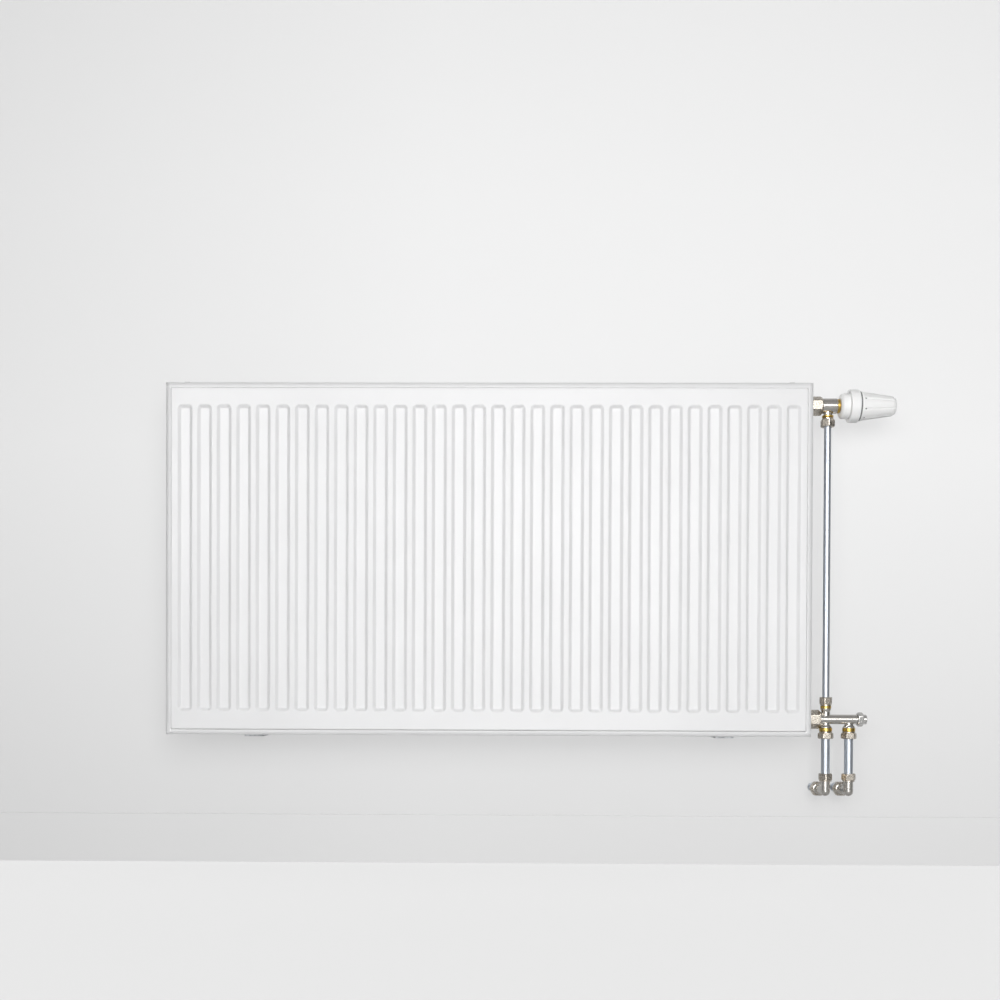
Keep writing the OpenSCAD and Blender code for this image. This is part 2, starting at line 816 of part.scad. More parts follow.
// The insert: gland, seal grooves, collar and the thread that carries the head
module valve_insert() {
    b = spindle_r + run_fit;
    s0 = valve_end + 2;
    color("goldenrod") conn_axis(0, hub_z) difference() {
        union() {
            bore(chamber_r - slip, insert_x, valve_end + 0.5);
            bore(insert_r, valve_end, valve_end + insert_collar);
            bore(insert_thread_r, valve_end, valve_end + insert_collar + insert_thread_len);
        }
        bore(b, insert_x - eps, valve_end + insert_collar + insert_thread_len + eps);
        bore(spindle_r + 2 * seal_wire_r + 2 * run_fit, s0, s0 + seal_groove);
        ring(chamber_r + eps, chamber_r - 2 * seal_wire_r, insert_x + 4, insert_x + 4 + seal_groove);
    }
}

module insert_seals() {
    color("dimgray") conn_axis(0, hub_z) {
        translate([0, 0, valve_end + 2 + seal_groove / 2]) rotate_extrude()
            translate([spindle_r + seal_wire_r + run_fit, 0]) circle(r = seal_wire_r, $fn = 24);
        translate([0, 0, insert_x + 4 + seal_groove / 2]) rotate_extrude()
            translate([chamber_r - seal_wire_r - run_fit / 2, 0])
                circle(r = seal_wire_r - run_fit, $fn = 24);
    }
}

// The spindle with the plate that carries the disc
module valve_spindle() {
    color("silver") conn_axis(0, hub_z) {
        bore(disc_r + 0.2, disc_x + disc_t, disc_x + disc_t + holder_t);
        bore(spindle_r, disc_x + disc_t, spindle_end);
    }
}

module valve_disc() color("dimgray") conn_axis(0, hub_z) bore(disc_r, disc_x, disc_x + disc_t);

module valve_spring() {
    low = disc_x + disc_t + holder_t + slip;
    color("gray") conn_axis(low, hub_z)
        helix(spindle_r + 2.2, 0.5, 4, insert_x - low - slip);
}

// ---------- thermostatic head ----------

module head_axis() conn_axis(head_x, hub_z) children();

module head_base() {
    b = barrel_bore;
    w = spindle_r + 0.45;
    hold = insert_thread_r + gap;
    curve = [for (a = [0:15:90])
        [base_r - base_round * (1 - sin(a)), base_round * (1 - cos(a))]];
    color("white") head_axis() rotate_extrude() polygon(concat(
        [[hold, 0]], curve,
        [[base_r, base_len], [barrel_r, base_len], [barrel_r, barrel_len], [b, barrel_len],
         [b, nut_pocket + 4], [w, nut_pocket + 4], [w, nut_pocket],
         [nut_pocket_r, nut_pocket], [nut_pocket_r, 1.5], [hold, 1.5]]));
}

module head_retaining_nut() {
    color("goldenrod") head_axis() ring(nut_pocket_r - 0.2, insert_thread_r + slip, 1.6, nut_pocket - 2);
}

// The ring that carries the scale, open towards the knob
module scale_ring() {
    c = 1.2;
    inner = barrel_r + slip;
    color("white") head_axis() difference() {
        rotate_extrude() polygon([
            [inner, ring_x], [ring_r - c, ring_x], [ring_r, ring_x + c],
            [ring_r, ring_x + ring_w - c], [ring_r - c, ring_x + ring_w],
            [ring_r - ring_wall, ring_x + ring_w], [ring_r - ring_wall, ring_x + ring_wall],
            [inner, ring_x + ring_wall]]);
        limiter_places() bore(1.2 + slip, ring_x - eps, ring_x + ring_wall + eps);
    }
}

module limiter_places() for (a = [150, 210]) rotate([0, 0, a]) translate([limit_r, 0, 0]) children();

module limiter_pins() {
    color("white") head_axis() limiter_places() {
        bore(1.2, ring_x - 2, ring_x + ring_wall + 1);
        bore(1.6, ring_x - 2.4, ring_x - 0.1);
    }
}

// The setting knob: a tapered shell that turns on the base's barrel
module setting_knob() {
    inner = ring_r - ring_wall - 1;
    t = knob_wall;
    color("white") head_axis() difference() {
        rotate_extrude() polygon([
            [inner, knob_x], [inner, rim_x], [knob_r, rim_x], [knob_r, grip_x - 0.8],
            [knob_r - 1, grip_x], [knob_end_r, knob_len - 3], [knob_end_r - 1, knob_len - 1],
            [cap_r + 1, knob_len], [cap_r + slip, knob_len], [cap_r + slip, knob_len - 2 - t],
            [knob_end_r - t, knob_len - 2 - t], [knob_r - 1 - t, grip_x], [barrel_r + run_fit, grip_x],
            [barrel_r + run_fit, grip_x - t], [inner - t, grip_x - t], [inner - t, knob_x]]);
        for (i = [0:grip_count - 1]) rotate([0, 0, (i + 0.5) * 360 / grip_count]) grip_groove();
    }
}

// One groove along the taper of the grip, as deep as half the knob's wall
module grip_groove() {
    slope = atan2(knob_r - 1 - knob_end_r, knob_len - 3 - grip_x);
    translate([knob_r - 1 - knob_wall / 2, -grip_w / 2, grip_x + 1.5])
        rotate([0, -slope, 0]) cube([knob_wall * 2, grip_w, grip_len]);
}

module knob_end_cap() {
    color("white") head_axis() rotate_extrude() polygon([
        [0, knob_len - 1.5 - knob_wall], [cap_r, knob_len - 1.5 - knob_wall],
        [cap_r, knob_len + 1.5], [cap_r - 1, knob_len + 2.7], [cap_r - 3, knob_len + 3.4],
        [0, knob_len + 3.8]]);
}

module sensor_capsule() {
    color("peru") head_axis() rotate_extrude() polygon([
        [0, capsule_x], [capsule_r - 1, capsule_x], [capsule_r, capsule_x + 1],
        [capsule_r, capsule_x + capsule_len - 1], [capsule_r - 1, capsule_x + capsule_len],
        [0, capsule_x + capsule_len]]);
}

module push_rod() {
    start = spindle_end - head_x + slip;
    color("whitesmoke") head_axis() bore(spindle_r, start, capsule_x);
}

module overtravel_spring() {
    low = capsule_x + capsule_len + slip;
    high = knob_len - 1.5 - knob_wall - slip;
    color("gray") translate([head_x + low, conn_y, hub_z]) rotate([0, 90, 0])
        helix(cap_r - 4, 0.8, 4, high - low);
}

// ---------- manifold ----------

// A flared neck about +Z that ends in the socket for an adapter
module neck(end, flare_r) {
    lip = 1.6;
    flare = 3.4;
    bore(branch_r, 0, end);
    translate([0, 0, end - lip - flare]) cylinder(r1 = branch_r, r2 = flare_r, h = flare);
    bore(flare_r, end - lip, end);
}

module manifold_body() {
    chamber_half = 5.5;
    step = 2.5;
    color("silver") difference() {
        union() {
            conn_axis(0, -hub_z) {
                bore(union_thread_r, inlet_x, body_x + 0.5);
                bore(union_thread_r + 0.8, body_x, body_x + step);
                bore(bar_r, body_x + step - 0.5, cap_x);
                bore(male_r, cap_x - 0.5, bar_end);
            }
            translate([riser_x, conn_y, -hub_z]) neck(up_neck_end, thread_r(riser_joint) + 0.8);
            for (x = [riser_x, second_x]) translate([x, conn_y, -hub_z])
                rotate([180, 0, 0]) neck(drop_neck_end, thread_r(drop_joint) + 0.6);
        }
        conn_axis(0, -hub_z) {
            bore(bar_bore, inlet_x - eps, bar_end - end_wall);
            bore(spindle_r + run_fit, bar_end - end_wall - eps, bar_end + eps);
            bore(chamber_r_low, riser_x - chamber_half, riser_x + chamber_half);
        }
        translate([riser_x, conn_y, -hub_z]) {
            bore(up_port_r, bar_bore - 1, up_neck_end + eps);
            translate([0, 0, up_neck_end]) adapter_socket(riser_r);
        }
        for (x = [riser_x, second_x]) translate([x, conn_y, -hub_z]) rotate([180, 0, 0]) {
            bore(down_port_r, bar_bore - 1, drop_neck_end + eps);
            translate([0, 0, drop_neck_end]) adapter_socket(drop_r);
        }
    }
}

module return_tube() {
    color("goldenrod") conn_axis(0, -hub_z) ring(tube_r, tube_r - tube_wall, inlet_x + 1, tube_end);
}

module chamber_seals() {
    color("dimgray") conn_axis(0, -hub_z) for (x = [riser_x - 9, riser_x + 9])
        ring(bar_bore - run_fit, tube_r + run_fit, x - 1, x + 1);
}

// The plug slides in the bar and covers the port of the second drop
module regulating_plug() {
    color("gold") conn_axis(0, -hub_z) difference() {
        bore(plug_r, plug_x, plug_x + plug_len);
        bore(stem_nose_r + slip, plug_x + plug_front, plug_x + plug_len + eps);
    }
}

// The stem turns in the end of the bar and drives the plug on its thread
module regulating_stem() {
    nose_x = plug_x + plug_front + 0.2;
    color("gold") conn_axis(0, -hub_z) difference() {
        union() {
            bore(stem_nose_r, nose_x, stem_collar_x + 0.5);
            bore(bar_bore - gap, stem_collar_x, bar_end - end_wall - slip);
            bore(spindle_r, stem_collar_x, stem_end);
        }
        translate([0, 0, stem_end - 4]) cylinder(r = key_r, h = 4 + eps, $fn = 6);
    }
}

module manifold_cap() {
    start = cap_x + gap;
    grip_end = cap_x + 0.6 * cap_len;
    end = cap_x + cap_len;
    color("silver") conn_axis(0, -hub_z) difference() {
        union() {
            hex_bar(cap_af, start, grip_end);
            bore(bar_r + 0.2, grip_end - 1, end - 1);
            bore(bar_r - 0.6, end - 1.5, end);
        }
        bore(male_r + gap, start - eps, bar_end + gap);
        bore(spindle_r + 1, bar_end, stem_end + gap);
    }
}

// ---------- drops ----------

module drop_adapters() color("goldenrod") drop_tops() adapter(drop_joint);
module drop_nuts() color("silver") drop_tops() compression_nut(drop_joint);

module drop_pipes() {
    high = -hub_z - drop_neck_end - pipe_stop(drop_joint);
    low = arm_z + leg_end + pipe_stop(leg_joint);
    color("lightslategray") for (x = [riser_x, second_x])
        translate([x, conn_y, 0]) pipe(drop_r, low, high);
}

// ---------- elbows ----------

module elbow_places() for (x = [riser_x, second_x]) translate([x, conn_y, arm_z]) children();

// A child drawn along +Z, laid along the elbow's arm, and one set on the elbow's upright leg
module on_arm(out) rotate([0, 0, elbow_turn]) rotate([-90, 0, 0]) translate([0, 0, out]) children();
module on_leg(up) translate([0, 0, up]) children();

// The upright leg, closed below by a dome
module elbow_body() {
    rotate_extrude() {
        intersection() {
            translate([0, -elbow_drop]) circle(r = elbow_r);
            translate([0, -elbow_drop - elbow_r]) square([elbow_r, elbow_r]);
        }
        translate([0, -elbow_drop]) square([elbow_r, elbow_drop + leg_end]);
    }
}

module elbow() {
    difference() {
        union() {
            elbow_body();
            on_leg(leg_end) bore(thread_r(leg_joint), -0.5, olive_low(leg_joint));
            on_arm(elbow_arm) bore(elbow_arm_r, -elbow_arm, 0.5);
            on_arm(elbow_arm) bore(thread_r(arm_joint), 0, olive_low(arm_joint));
        }
        on_leg(leg_end) bore(elbow_bore_r, -leg_end, pipe_stop(leg_joint) + eps);
        on_leg(leg_end) bore(drop_r + slip, pipe_stop(leg_joint), olive_low(leg_joint) + eps);
        on_arm(elbow_arm) bore(elbow_bore_r - slip, -elbow_arm, pipe_stop(arm_joint) + eps);
        on_arm(elbow_arm) bore(drop_r + slip, pipe_stop(arm_joint), olive_low(arm_joint) + eps);
    }
}

module elbows() color("silver") elbow_places() elbow();

module elbow_nuts() color("silver") elbow_places() {
    on_leg(leg_end) compression_nut(leg_joint);
    on_arm(elbow_arm) compression_nut(arm_joint);
}

module olives() color("goldenrod") {
    riser_top() olive(valve_joint);
    riser_bottom() olive(riser_joint);
    drop_tops() olive(drop_joint);
    elbow_places() {
        on_leg(leg_end) olive(leg_joint);
        on_arm(elbow_arm) olive(arm_joint);
    }
}

module stub_pipes() color("lightslategray") elbow_places()
    on_arm(0) pipe(drop_r, elbow_arm + pipe_stop(arm_joint), stub_len);

// ---------- the part ----------

front_outer_sheet();
front_inner_sheet();
rear_inner_sheet();
rear_outer_sheet();
front_convector();
rear_convector();
hub_top_left();
hub_top_right();
hub_bottom_left();
hub_bottom_right();
top_grille();
grille_clips();
left_side_panel();
right_side_panel();
left_wall_bracket();
right_wall_bracket();
bracket_pads();
left_bracket_latch();
right_bracket_latch();
vent_plug();
vent_screw();
blank_plug();
plug_seals();
tailpieces();
union_nuts();
union_washers();
valve_body();
valve_insert();
insert_seals();
valve_spindle();
valve_disc();
valve_spring();
head_base();
head_retaining_nut();
scale_ring();
limiter_pins();
setting_knob();
knob_end_cap();
sensor_capsule();
push_rod();
overtravel_spring();
riser_pipe();
riser_adapters();
riser_nuts();
manifold_body();
return_tube();
chamber_seals();
regulating_stem();
regulating_plug();
manifold_cap();
drop_adapters();
drop_nuts();
drop_pipes();
elbows();
elbow_nuts();
olives();
stub_pipes();
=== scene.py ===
"""Looks of a wall-hung panel radiator with its valve, riser, manifold and drop pipes.

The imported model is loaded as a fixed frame. The pressed sheets, the nuts, the pipes and the
thermostatic head are drawn again as smooth surfaces over their plain solids; the other solids
stay as they are and get a finish. All places are in metres and come from the frame; the sizes
of the pieces stand in millimetres in each class.
"""

import logging
import math
from dataclasses import dataclass
from enum import Enum
from typing import ClassVar, Iterable, Optional, Sequence

import bpy
import numpy as np
from mathutils import Euler, Matrix, Vector


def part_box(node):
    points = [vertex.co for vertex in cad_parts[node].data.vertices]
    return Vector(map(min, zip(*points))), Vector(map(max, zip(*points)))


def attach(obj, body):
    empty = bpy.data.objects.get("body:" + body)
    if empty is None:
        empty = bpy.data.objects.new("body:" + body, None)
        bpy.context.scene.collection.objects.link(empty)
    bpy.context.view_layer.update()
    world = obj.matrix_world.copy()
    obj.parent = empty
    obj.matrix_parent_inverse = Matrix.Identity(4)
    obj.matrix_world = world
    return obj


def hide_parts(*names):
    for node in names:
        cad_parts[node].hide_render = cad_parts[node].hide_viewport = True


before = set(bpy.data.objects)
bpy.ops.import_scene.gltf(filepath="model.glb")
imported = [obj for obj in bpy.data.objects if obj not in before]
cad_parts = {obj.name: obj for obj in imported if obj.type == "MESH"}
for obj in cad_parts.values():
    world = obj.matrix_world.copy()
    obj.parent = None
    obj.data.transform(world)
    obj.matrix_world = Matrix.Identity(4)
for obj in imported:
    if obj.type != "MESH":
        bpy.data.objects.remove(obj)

LOG = logging.getLogger("radiator")
MM = 0.001
SPIGOT = 4.0
SHARP = 38.0
Rows = np.ndarray
Colour = tuple[float, float, float]
Place = tuple[float, float, float]
Socket = tuple[bpy.types.Node, str | int]


# ---------- surfaces ----------


class Direction(Enum):
    """The ways a turned piece can lie, as its own axis and the side where its angle is zero."""

    RIGHT = ((1.0, 0.0, 0.0), (0.0, 0.0, 1.0))
    LEFT = ((-1.0, 0.0, 0.0), (0.0, 0.0, 1.0))
    UP = ((0.0, 0.0, 1.0), (0.0, -1.0, 0.0))
    DOWN = ((0.0, 0.0, -1.0), (0.0, -1.0, 0.0))


@dataclass(frozen=True)
class Spindle:
    """A line that pieces are turned about: a place in metres, its axis and its zero side."""

    place: Place
    axis: Place
    side: Place

    @classmethod
    def lying(cls, place: Sequence[float], direction: Direction) -> "Spindle":
        """Makes a spindle at a place that points in one of the named directions."""
        return cls(tuple(place), *direction.value)

    def points(self, radius: Rows, angle: Rows, height: Rows) -> Rows:
        """Turns cylinder coordinates into places in the frame.

        Args:
            radius: distances from the axis, in millimetres.
            angle: angles from the zero side, in radians.
            height: distances along the axis, in millimetres.

        Returns:
            An array of the broadcast shape with a last axis of three, in metres.
        """
        axis, side = np.array(self.axis), np.array(self.side)
        across = np.cross(axis, side)
        radius, angle, height = np.broadcast_arrays(radius, angle, height)
        return (
            np.array(self.place)
            + MM * height[..., None] * axis
            + MM * (radius * np.cos(angle))[..., None] * side
            + MM * (radius * np.sin(angle))[..., None] * across
        )


@dataclass
class Skin:
    """A grid of points that becomes one surface.

    A grid whose rows wrap is a ring in the first direction, and one whose columns wrap is a
    ring in the second. A row that has shrunk to one point is a pole and gets triangles.
    """

    grid: Rows
    wrap_rows: bool = True
    wrap_columns: bool = True
    solid: bool = True

    def faces(self) -> tuple[Rows, Rows, Rows]:
        """Works out the vertices and the faces of the grid.

        Returns:
            The vertices as (n, 3), the four-sided faces and the three-sided faces.
        """
        rows, columns = self.grid.shape[:2]
        index = np.arange(rows * columns).reshape(rows, columns)
        spread = np.ptp(self.grid, axis=1).max(axis=1)
        index[spread < 1e-9] = index[spread < 1e-9][:, :1]
        if self.wrap_rows:
            index = np.vstack([index, index[:1]])
        if self.wrap_columns:
            index = np.hstack([index, index[:, :1]])
        quads = np.stack([index[:-1, :-1], index[:-1, 1:], index[1:, 1:], index[1:, :-1]], -1)
        quads = quads.reshape(-1, 4)
        points = self.grid.reshape(-1, 3)
        if self.solid and self.volume(points, quads) < 0:
            quads = quads[:, ::-1]
        same = quads == np.roll(quads, -1, axis=1)
        whole = quads[~same.any(axis=1)]
        rest = quads[same.sum(axis=1) == 1]
        kept = ~(rest == np.roll(rest, -1, axis=1))
        threes = rest[kept].reshape(-1, 3)
        used, flat = np.unique(np.concatenate([whole.ravel(), threes.ravel()]), return_inverse=True)
        flat = flat.ravel()
        return points[used], flat[: whole.size].reshape(-1, 4), flat[whole.size:].reshape(-1, 3)

    @staticmethod
    def volume(points: Rows, quads: Rows) -> float:
        """Six times the volume inside the quads, which is negative when they face inwards."""
        a, b, c, d = (points[quads[:, k]] for k in range(4))
        return float(np.sum(np.cross(a, b) * c) + np.sum(np.cross(a, c) * d))


def rounded(corners: Sequence[tuple[float, float]], round_by: float, closed: bool = False,
            steps: int = 4) -> Rows:
    """Rounds each corner of an outline with a short curve.

    Between the two cut points p and q beside a corner c the curve is
    (1 - t)^2 p + 2 t (1 - t) c + t^2 q, for t from 0 to 1.

    Args:
        corners: the outline's corners.
        round_by: how far from the corner the curve starts, in the outline's units.
        closed: whether the outline runs back to its first corner.
        steps: how many pieces each curve has.

    Returns:
        The outline's points as (n, 2).
    """
    c = np.array(corners, float)
    before, after = np.roll(c, 1, axis=0) - c, np.roll(c, -1, axis=0) - c
    reach_b, reach_a = np.linalg.norm(before, axis=1), np.linalg.norm(after, axis=1)
    cut = np.minimum(round_by, 0.45 * np.minimum(reach_b, reach_a))[:, None]
    p = c + before / np.maximum(reach_b, 1e-9)[:, None] * cut
    q = c + after / np.maximum(reach_a, 1e-9)[:, None] * cut
    t = np.linspace(0, 1, steps + 1)[None, :, None]
    curve = (1 - t) ** 2 * p[:, None] + 2 * t * (1 - t) * c[:, None] + t**2 * q[:, None]
    if closed:
        return curve.reshape(-1, 2)
    return np.vstack([c[:1], curve[1:-1].reshape(-1, 2), c[-1:]])


def turned(outline: Rows, spindle: Spindle, columns: int = 64) -> Skin:
    """Turns an outline of (radius, height) about a spindle.

    Args:
        outline: the points of the outline in order, in millimetres. One that begins and ends
            on the axis closes at two poles; any other one runs back to its first point.
        spindle: the line that the outline turns about.
        columns: how many columns go round.

    Returns:
        The surface.
    """
    outline = np.asarray(outline, float)
    angle = np.linspace(0, 2 * math.pi, columns, endpoint=False)
    poles = outline[0, 0] == 0 and outline[-1, 0] == 0
    return Skin(spindle.points(outline[:, :1], angle[None], outline[:, 1:]), wrap_rows=not poles)


def smooth_step(value: Rows) -> Rows:
    """Runs from 0 to 1 as the value does, level at both ends: 3 v^2 - 2 v^3."""
    v = np.clip(value, 0, 1)
    return v * v * (3 - 2 * v)


def mesh_of(name: str, skins: Iterable[Skin], sharp: float) -> bpy.types.Mesh:
    """Joins surfaces into one mesh.

    Args:
        name: the mesh's name.
        skins: the surfaces.
        sharp: the angle in degrees above which an edge stays sharp.

    Returns:
        The mesh, with smooth faces and outward normals.
    """
    points, fours, threes, base = [], [], [], 0
    for skin in skins:
        p, four, three = skin.faces()
        points.append(p)
        fours.append(four + base)
        threes.append(three + base)
        base += len(p)
    fours, threes = np.vstack(fours), np.vstack(threes)
    mesh = bpy.data.meshes.new(name)
    mesh.vertices.add(base)
    mesh.vertices.foreach_set("co", np.vstack(points).astype(np.float32).ravel())
    corners = np.concatenate([fours.ravel(), threes.ravel()]).astype(np.int32)
    sizes = np.concatenate([np.full(len(fours), 4), np.full(len(threes), 3)])
    mesh.loops.add(len(corners))
    mesh.loops.foreach_set("vertex_index", corners)
    mesh.polygons.add(len(sizes))
    starts = np.concatenate([[0], np.cumsum(sizes)[:-1]]).astype(np.int32)
    mesh.polygons.foreach_set("loop_start", starts)
    mesh.update(calc_edges=True)
    mesh.validate()
    mesh.shade_smooth()
    mesh.set_sharp_from_angle(angle=math.radians(sharp))
    return mesh


# ---------- finishes ----------


class Nodes:
    """A tree of nodes, added and joined by short calls.

    A source is a pair: a node and the name of one of its outputs.
    """

    def __init__(self, tree: bpy.types.NodeTree) -> None:
        """Takes a tree and empties it."""
        self.tree = tree
        self.tree.nodes.clear()

    def add(self, kind: str, **values: object) -> bpy.types.Node:
        """Adds a node and sets its sockets, or its settings where no socket has the name."""
        node = self.tree.nodes.new(kind)
        for key, value in values.items():
            label = key.replace("_", " ")
            sockets = [s for s in node.inputs if s.name.lower() == label and s.enabled]
            if sockets:
                sockets[0].default_value = value
            else:
                setattr(node, key, value)
        return node

    def join(self, source: Socket, sink: bpy.types.Node, into: str | int) -> None:
        """Joins a source to a node's input."""
        node, out = source
        self.tree.links.new(node.outputs[out], sink.inputs[into])

    def split(self, points: Socket) -> bpy.types.Node:
        """Adds the node that has the points' X, Y and Z as its outputs."""
        node = self.add("ShaderNodeSeparateXYZ")
        self.join(points, node, "Vector")
        return node

    def maths(self, kind: str, *values: Socket | float) -> Socket:
        """Adds one step of arithmetic on sources and numbers."""
        node = self.add("ShaderNodeMath", operation=kind)
        for place, value in enumerate(values):
            if isinstance(value, tuple):
                self.join(value, node, place)
            else:
                node.inputs[place].default_value = value
        return node, "Value"

    def spread(self, source: Socket, *span: float) -> Socket:
        """Spreads a source: the first two numbers of the span become the last two."""
        node = self.add("ShaderNodeMapRange")
        for socket, value in zip(("From Min", "From Max", "To Min", "To Max"), span):
            node.inputs[socket].default_value = value
        self.join(source, node, "Value")
        return node, "Result"

    def ramp(self, source: Socket, stops: Sequence[tuple[float, Colour]]) -> Socket:
        """Colours a source by stops in order, each a position from 0 to 1 and a colour."""
        node = self.add("ShaderNodeValToRGB")
        ends, (first, *middle, last) = node.color_ramp.elements, stops
        for end, (position, colour) in zip(ends, (first, last)):
            end.position, end.color = position, (*colour, 1)
        for position, colour in middle:
            ends.new(position).color = (*colour, 1)
        self.join(source, node, "Fac")
        return node, "Color"

    def mix_colours(self, share: Socket, under: Socket, over: Colour) -> Socket:
        """Lays a plain colour over a source by a share."""
        node = self.add("ShaderNodeMix", data_type="RGBA")
        self.join(share, node, 0)
        self.join(under, node, 6)
        node.inputs[7].default_value = (*over, 1)
        return node, 2

    def mix_shaders(self, share: Socket, under: Socket, over: Socket) -> Socket:
        """Lays one shader over another by a share."""
        node = self.add("ShaderNodeMixShader")
        for place, source in enumerate((share, under, over)):
            self.join(source, node, place)
        return node, "Shader"


class Graph(Nodes):
    """A material's nodes, round its main shader."""

    def __init__(self, name: str) -> None:
        """Makes an empty material with its output and its main shader."""
        self.material = bpy.data.materials.new(name)
        self.material.use_nodes = True
        super().__init__(self.material.node_tree)
        self.output = self.add("ShaderNodeOutputMaterial")
        self.shader = self.add("ShaderNodeBsdfPrincipled")
        self.join((self.shader, "BSDF"), self.output, "Surface")

    def settings(self, **values: float) -> None:
        """Sets inputs of the main shader; a name has _ for each space."""
        for name, value in values.items():
            self.shader.inputs[name.replace("_", " ")].default_value = value

    def points(self, stretch: Place = (1, 1, 1), start: Place = (0, 0, 0)) -> Socket:
        """Adds the piece's own coordinates from a start, scaled along each axis."""
        scaled = self.add("ShaderNodeMapping", scale=stretch, location=tuple(-v for v in start))
        self.join((self.add("ShaderNodeTexCoord"), "Object"), scaled, "Vector")
        return scaled, "Vector"

    def noise(self, points: Socket, scale: float, detail: float) -> Socket:
        """Adds soft noise over the points."""
        node = self.add("ShaderNodeTexNoise", scale=scale, detail=detail, roughness=0.55)
        self.join(points, node, "Vector")
        return node, "Fac"

    def tones(self, source: Socket, low: Colour, high: Colour) -> None:
        """Colours the shader between two tones by a source."""
        self.join(self.ramp(source, ((0.3, low), (0.7, high))), self.shader, "Base Color")

    def gloss(self, source: Socket, low: float, high: float) -> None:
        """Varies the shader's roughness between two values by a source."""
        self.join(self.spread(source, 0.3, 0.7, low, high), self.shader, "Roughness")

    def bump(self, source: Socket, strength: float, depth: float) -> None:
        """Raises the surface by a source."""
        node = self.add("ShaderNodeBump", strength=strength, distance=depth)
        self.join(source, node, "Height")
        self.join((node, "Normal"), self.shader, "Normal")


def shade(colour: Colour, by: float) -> Colour:
    """Makes a colour lighter or darker by a factor."""
    return tuple(min(1.0, c * by) for c in colour)


@dataclass(frozen=True)
class Finish:
    """What every finish has: a name, a main tone in linear light and a roughness."""

    name: str
    tone: Colour
    roughness: float = 0.5

    def dress(self, graph: Graph) -> None:
        """Sets up the shader; each finish has its own."""
        raise NotImplementedError

    def material(self) -> bpy.types.Material:
        """Gives the finish's material, which is made once."""
        made = bpy.data.materials.get(self.name)
        if made is None:
            graph = Graph(self.name)
            self.dress(graph)
            made = graph.material
            made.diffuse_color = (*self.tone, 1)
        return made


@dataclass(frozen=True)
class Enamel(Finish):
    """Baked white enamel with the slight waves of sprayed paint."""

    coat: float = 0.0

    def dress(self, graph: Graph) -> None:
        """Lays soft tone changes, orange peel and a thin clear coat."""
        points = graph.points()
        graph.tones(graph.noise(points, 9.0, 2.0), shade(self.tone, 0.985), shade(self.tone, 1.01))
        waves = graph.noise(points, 420.0, 2.0)
        graph.gloss(waves, self.roughness - 0.03, self.roughness + 0.03)
        graph.bump(waves, 0.05, 0.0004)
        graph.settings(IOR=1.5, Coat_Weight=self.coat, Coat_Roughness=0.12)


@dataclass(frozen=True)
class MouldedPlastic(Finish):
    """White plastic as it leaves the mould: satin, with a very fine grain."""

    roughness: float = 0.42

    def dress(self, graph: Graph) -> None:
        """Lays the grain, faint flow marks and an even satin gloss."""
        points = graph.points()
        graph.tones(graph.noise(points, 55.0, 1.0), shade(self.tone, 0.99), shade(self.tone, 1.01))
        grain = graph.noise(points, 2600.0, 2.0)
        graph.gloss(grain, self.roughness - 0.04, self.roughness + 0.04)
        graph.bump(grain, 0.08, 0.0001)
        graph.settings(IOR=1.46)


@dataclass(frozen=True)
class GripPlastic(MouldedPlastic):
    """Head plastic with painted shade: the seam behind the rim and the first stretch of each groove
    are coloured deep grey to stand for the shade that falls in these gaps.

    Lengths are in metres, measured from the start of the head along X.
    """

    start: Place = (0.0, 0.0, 0.0)
    seam: tuple[float, float] = (0.0275, 0.0343)
    notch: tuple[float, float] = (0.0388, 0.0418)
    notches: int = 8
    half_turn: float = 0.062
    # painted shade: the deep grey laid over the seam and the notches in place of the shade in those
    # gaps
    painted_shade_colour: Colour = (0.2, 0.2, 0.205)

    def dress(self, graph: Graph) -> None:
        """Adds the painted shade: over the seam, a band over X, and over the notches, bands over X
        and the angle.
        """
        super().dress(graph)
        split = graph.split(graph.points(start=self.start))
        angle = graph.maths("ARCTAN2", (split, "Z"), (split, "Y"))
        turn = graph.maths("MULTIPLY", angle, self.notches / (2 * math.pi))
        around = graph.maths("COMPARE", graph.maths("FRACT", turn), 0.5, self.half_turn)
        along, ring = (graph.maths("COMPARE", (split, "X"), (low + high) / 2, (high - low) / 2)
                       for low, high in (self.notch, self.seam))
        # painted shade: where the seam's band or a notch's band is set, the plastic's colour gives
        # way to the deep grey
        painted_shade_mask = graph.maths("MAXIMUM", graph.maths("MULTIPLY", around, along), ring)
        paint = graph.shader.inputs["Base Color"].links[0].from_node
        graph.join(graph.mix_colours(painted_shade_mask, (paint, "Color"), self.painted_shade_colour), graph.shader, "Base Color")


@dataclass(frozen=True)
class Plating(Finish):
    """Nickel over turned brass: bright, warm, with fine tool marks and small stains."""

    def dress(self, graph: Graph) -> None:
        """Lays stains, gloss changes and the marks of turning."""
        points = graph.points()
        graph.tones(graph.noise(points, 160.0, 4.0), shade(self.tone, 0.96), self.tone)
        patches = graph.noise(points, 420.0, 3.0)
        graph.gloss(patches, self.roughness * 0.75, self.roughness * 1.35)
        graph.bump(graph.noise(graph.points((6, 6, 1)), 900.0, 3.0), 0.1, 0.00005)
        graph.settings(Metallic=1.0)


@dataclass(frozen=True)
class DrawnSteel(Finish):
    """Steel pipe drawn along its length, with fine streaks the same way."""

    lie: Place = (1.0, 1.0, 0.03)

    def dress(self, graph: Graph) -> None:
        """Lays the streaks in tone, gloss and height."""
        streaks = graph.noise(graph.points(self.lie), 1500.0, 3.0)
        graph.tones(streaks, shade(self.tone, 0.9), shade(self.tone, 1.06))
        broad = graph.noise(graph.points(self.lie), 260.0, 2.0)
        graph.gloss(broad, self.roughness * 0.8, self.roughness * 1.25)
        graph.bump(streaks, 0.12, 0.00006)
        graph.settings(Metallic=1.0)


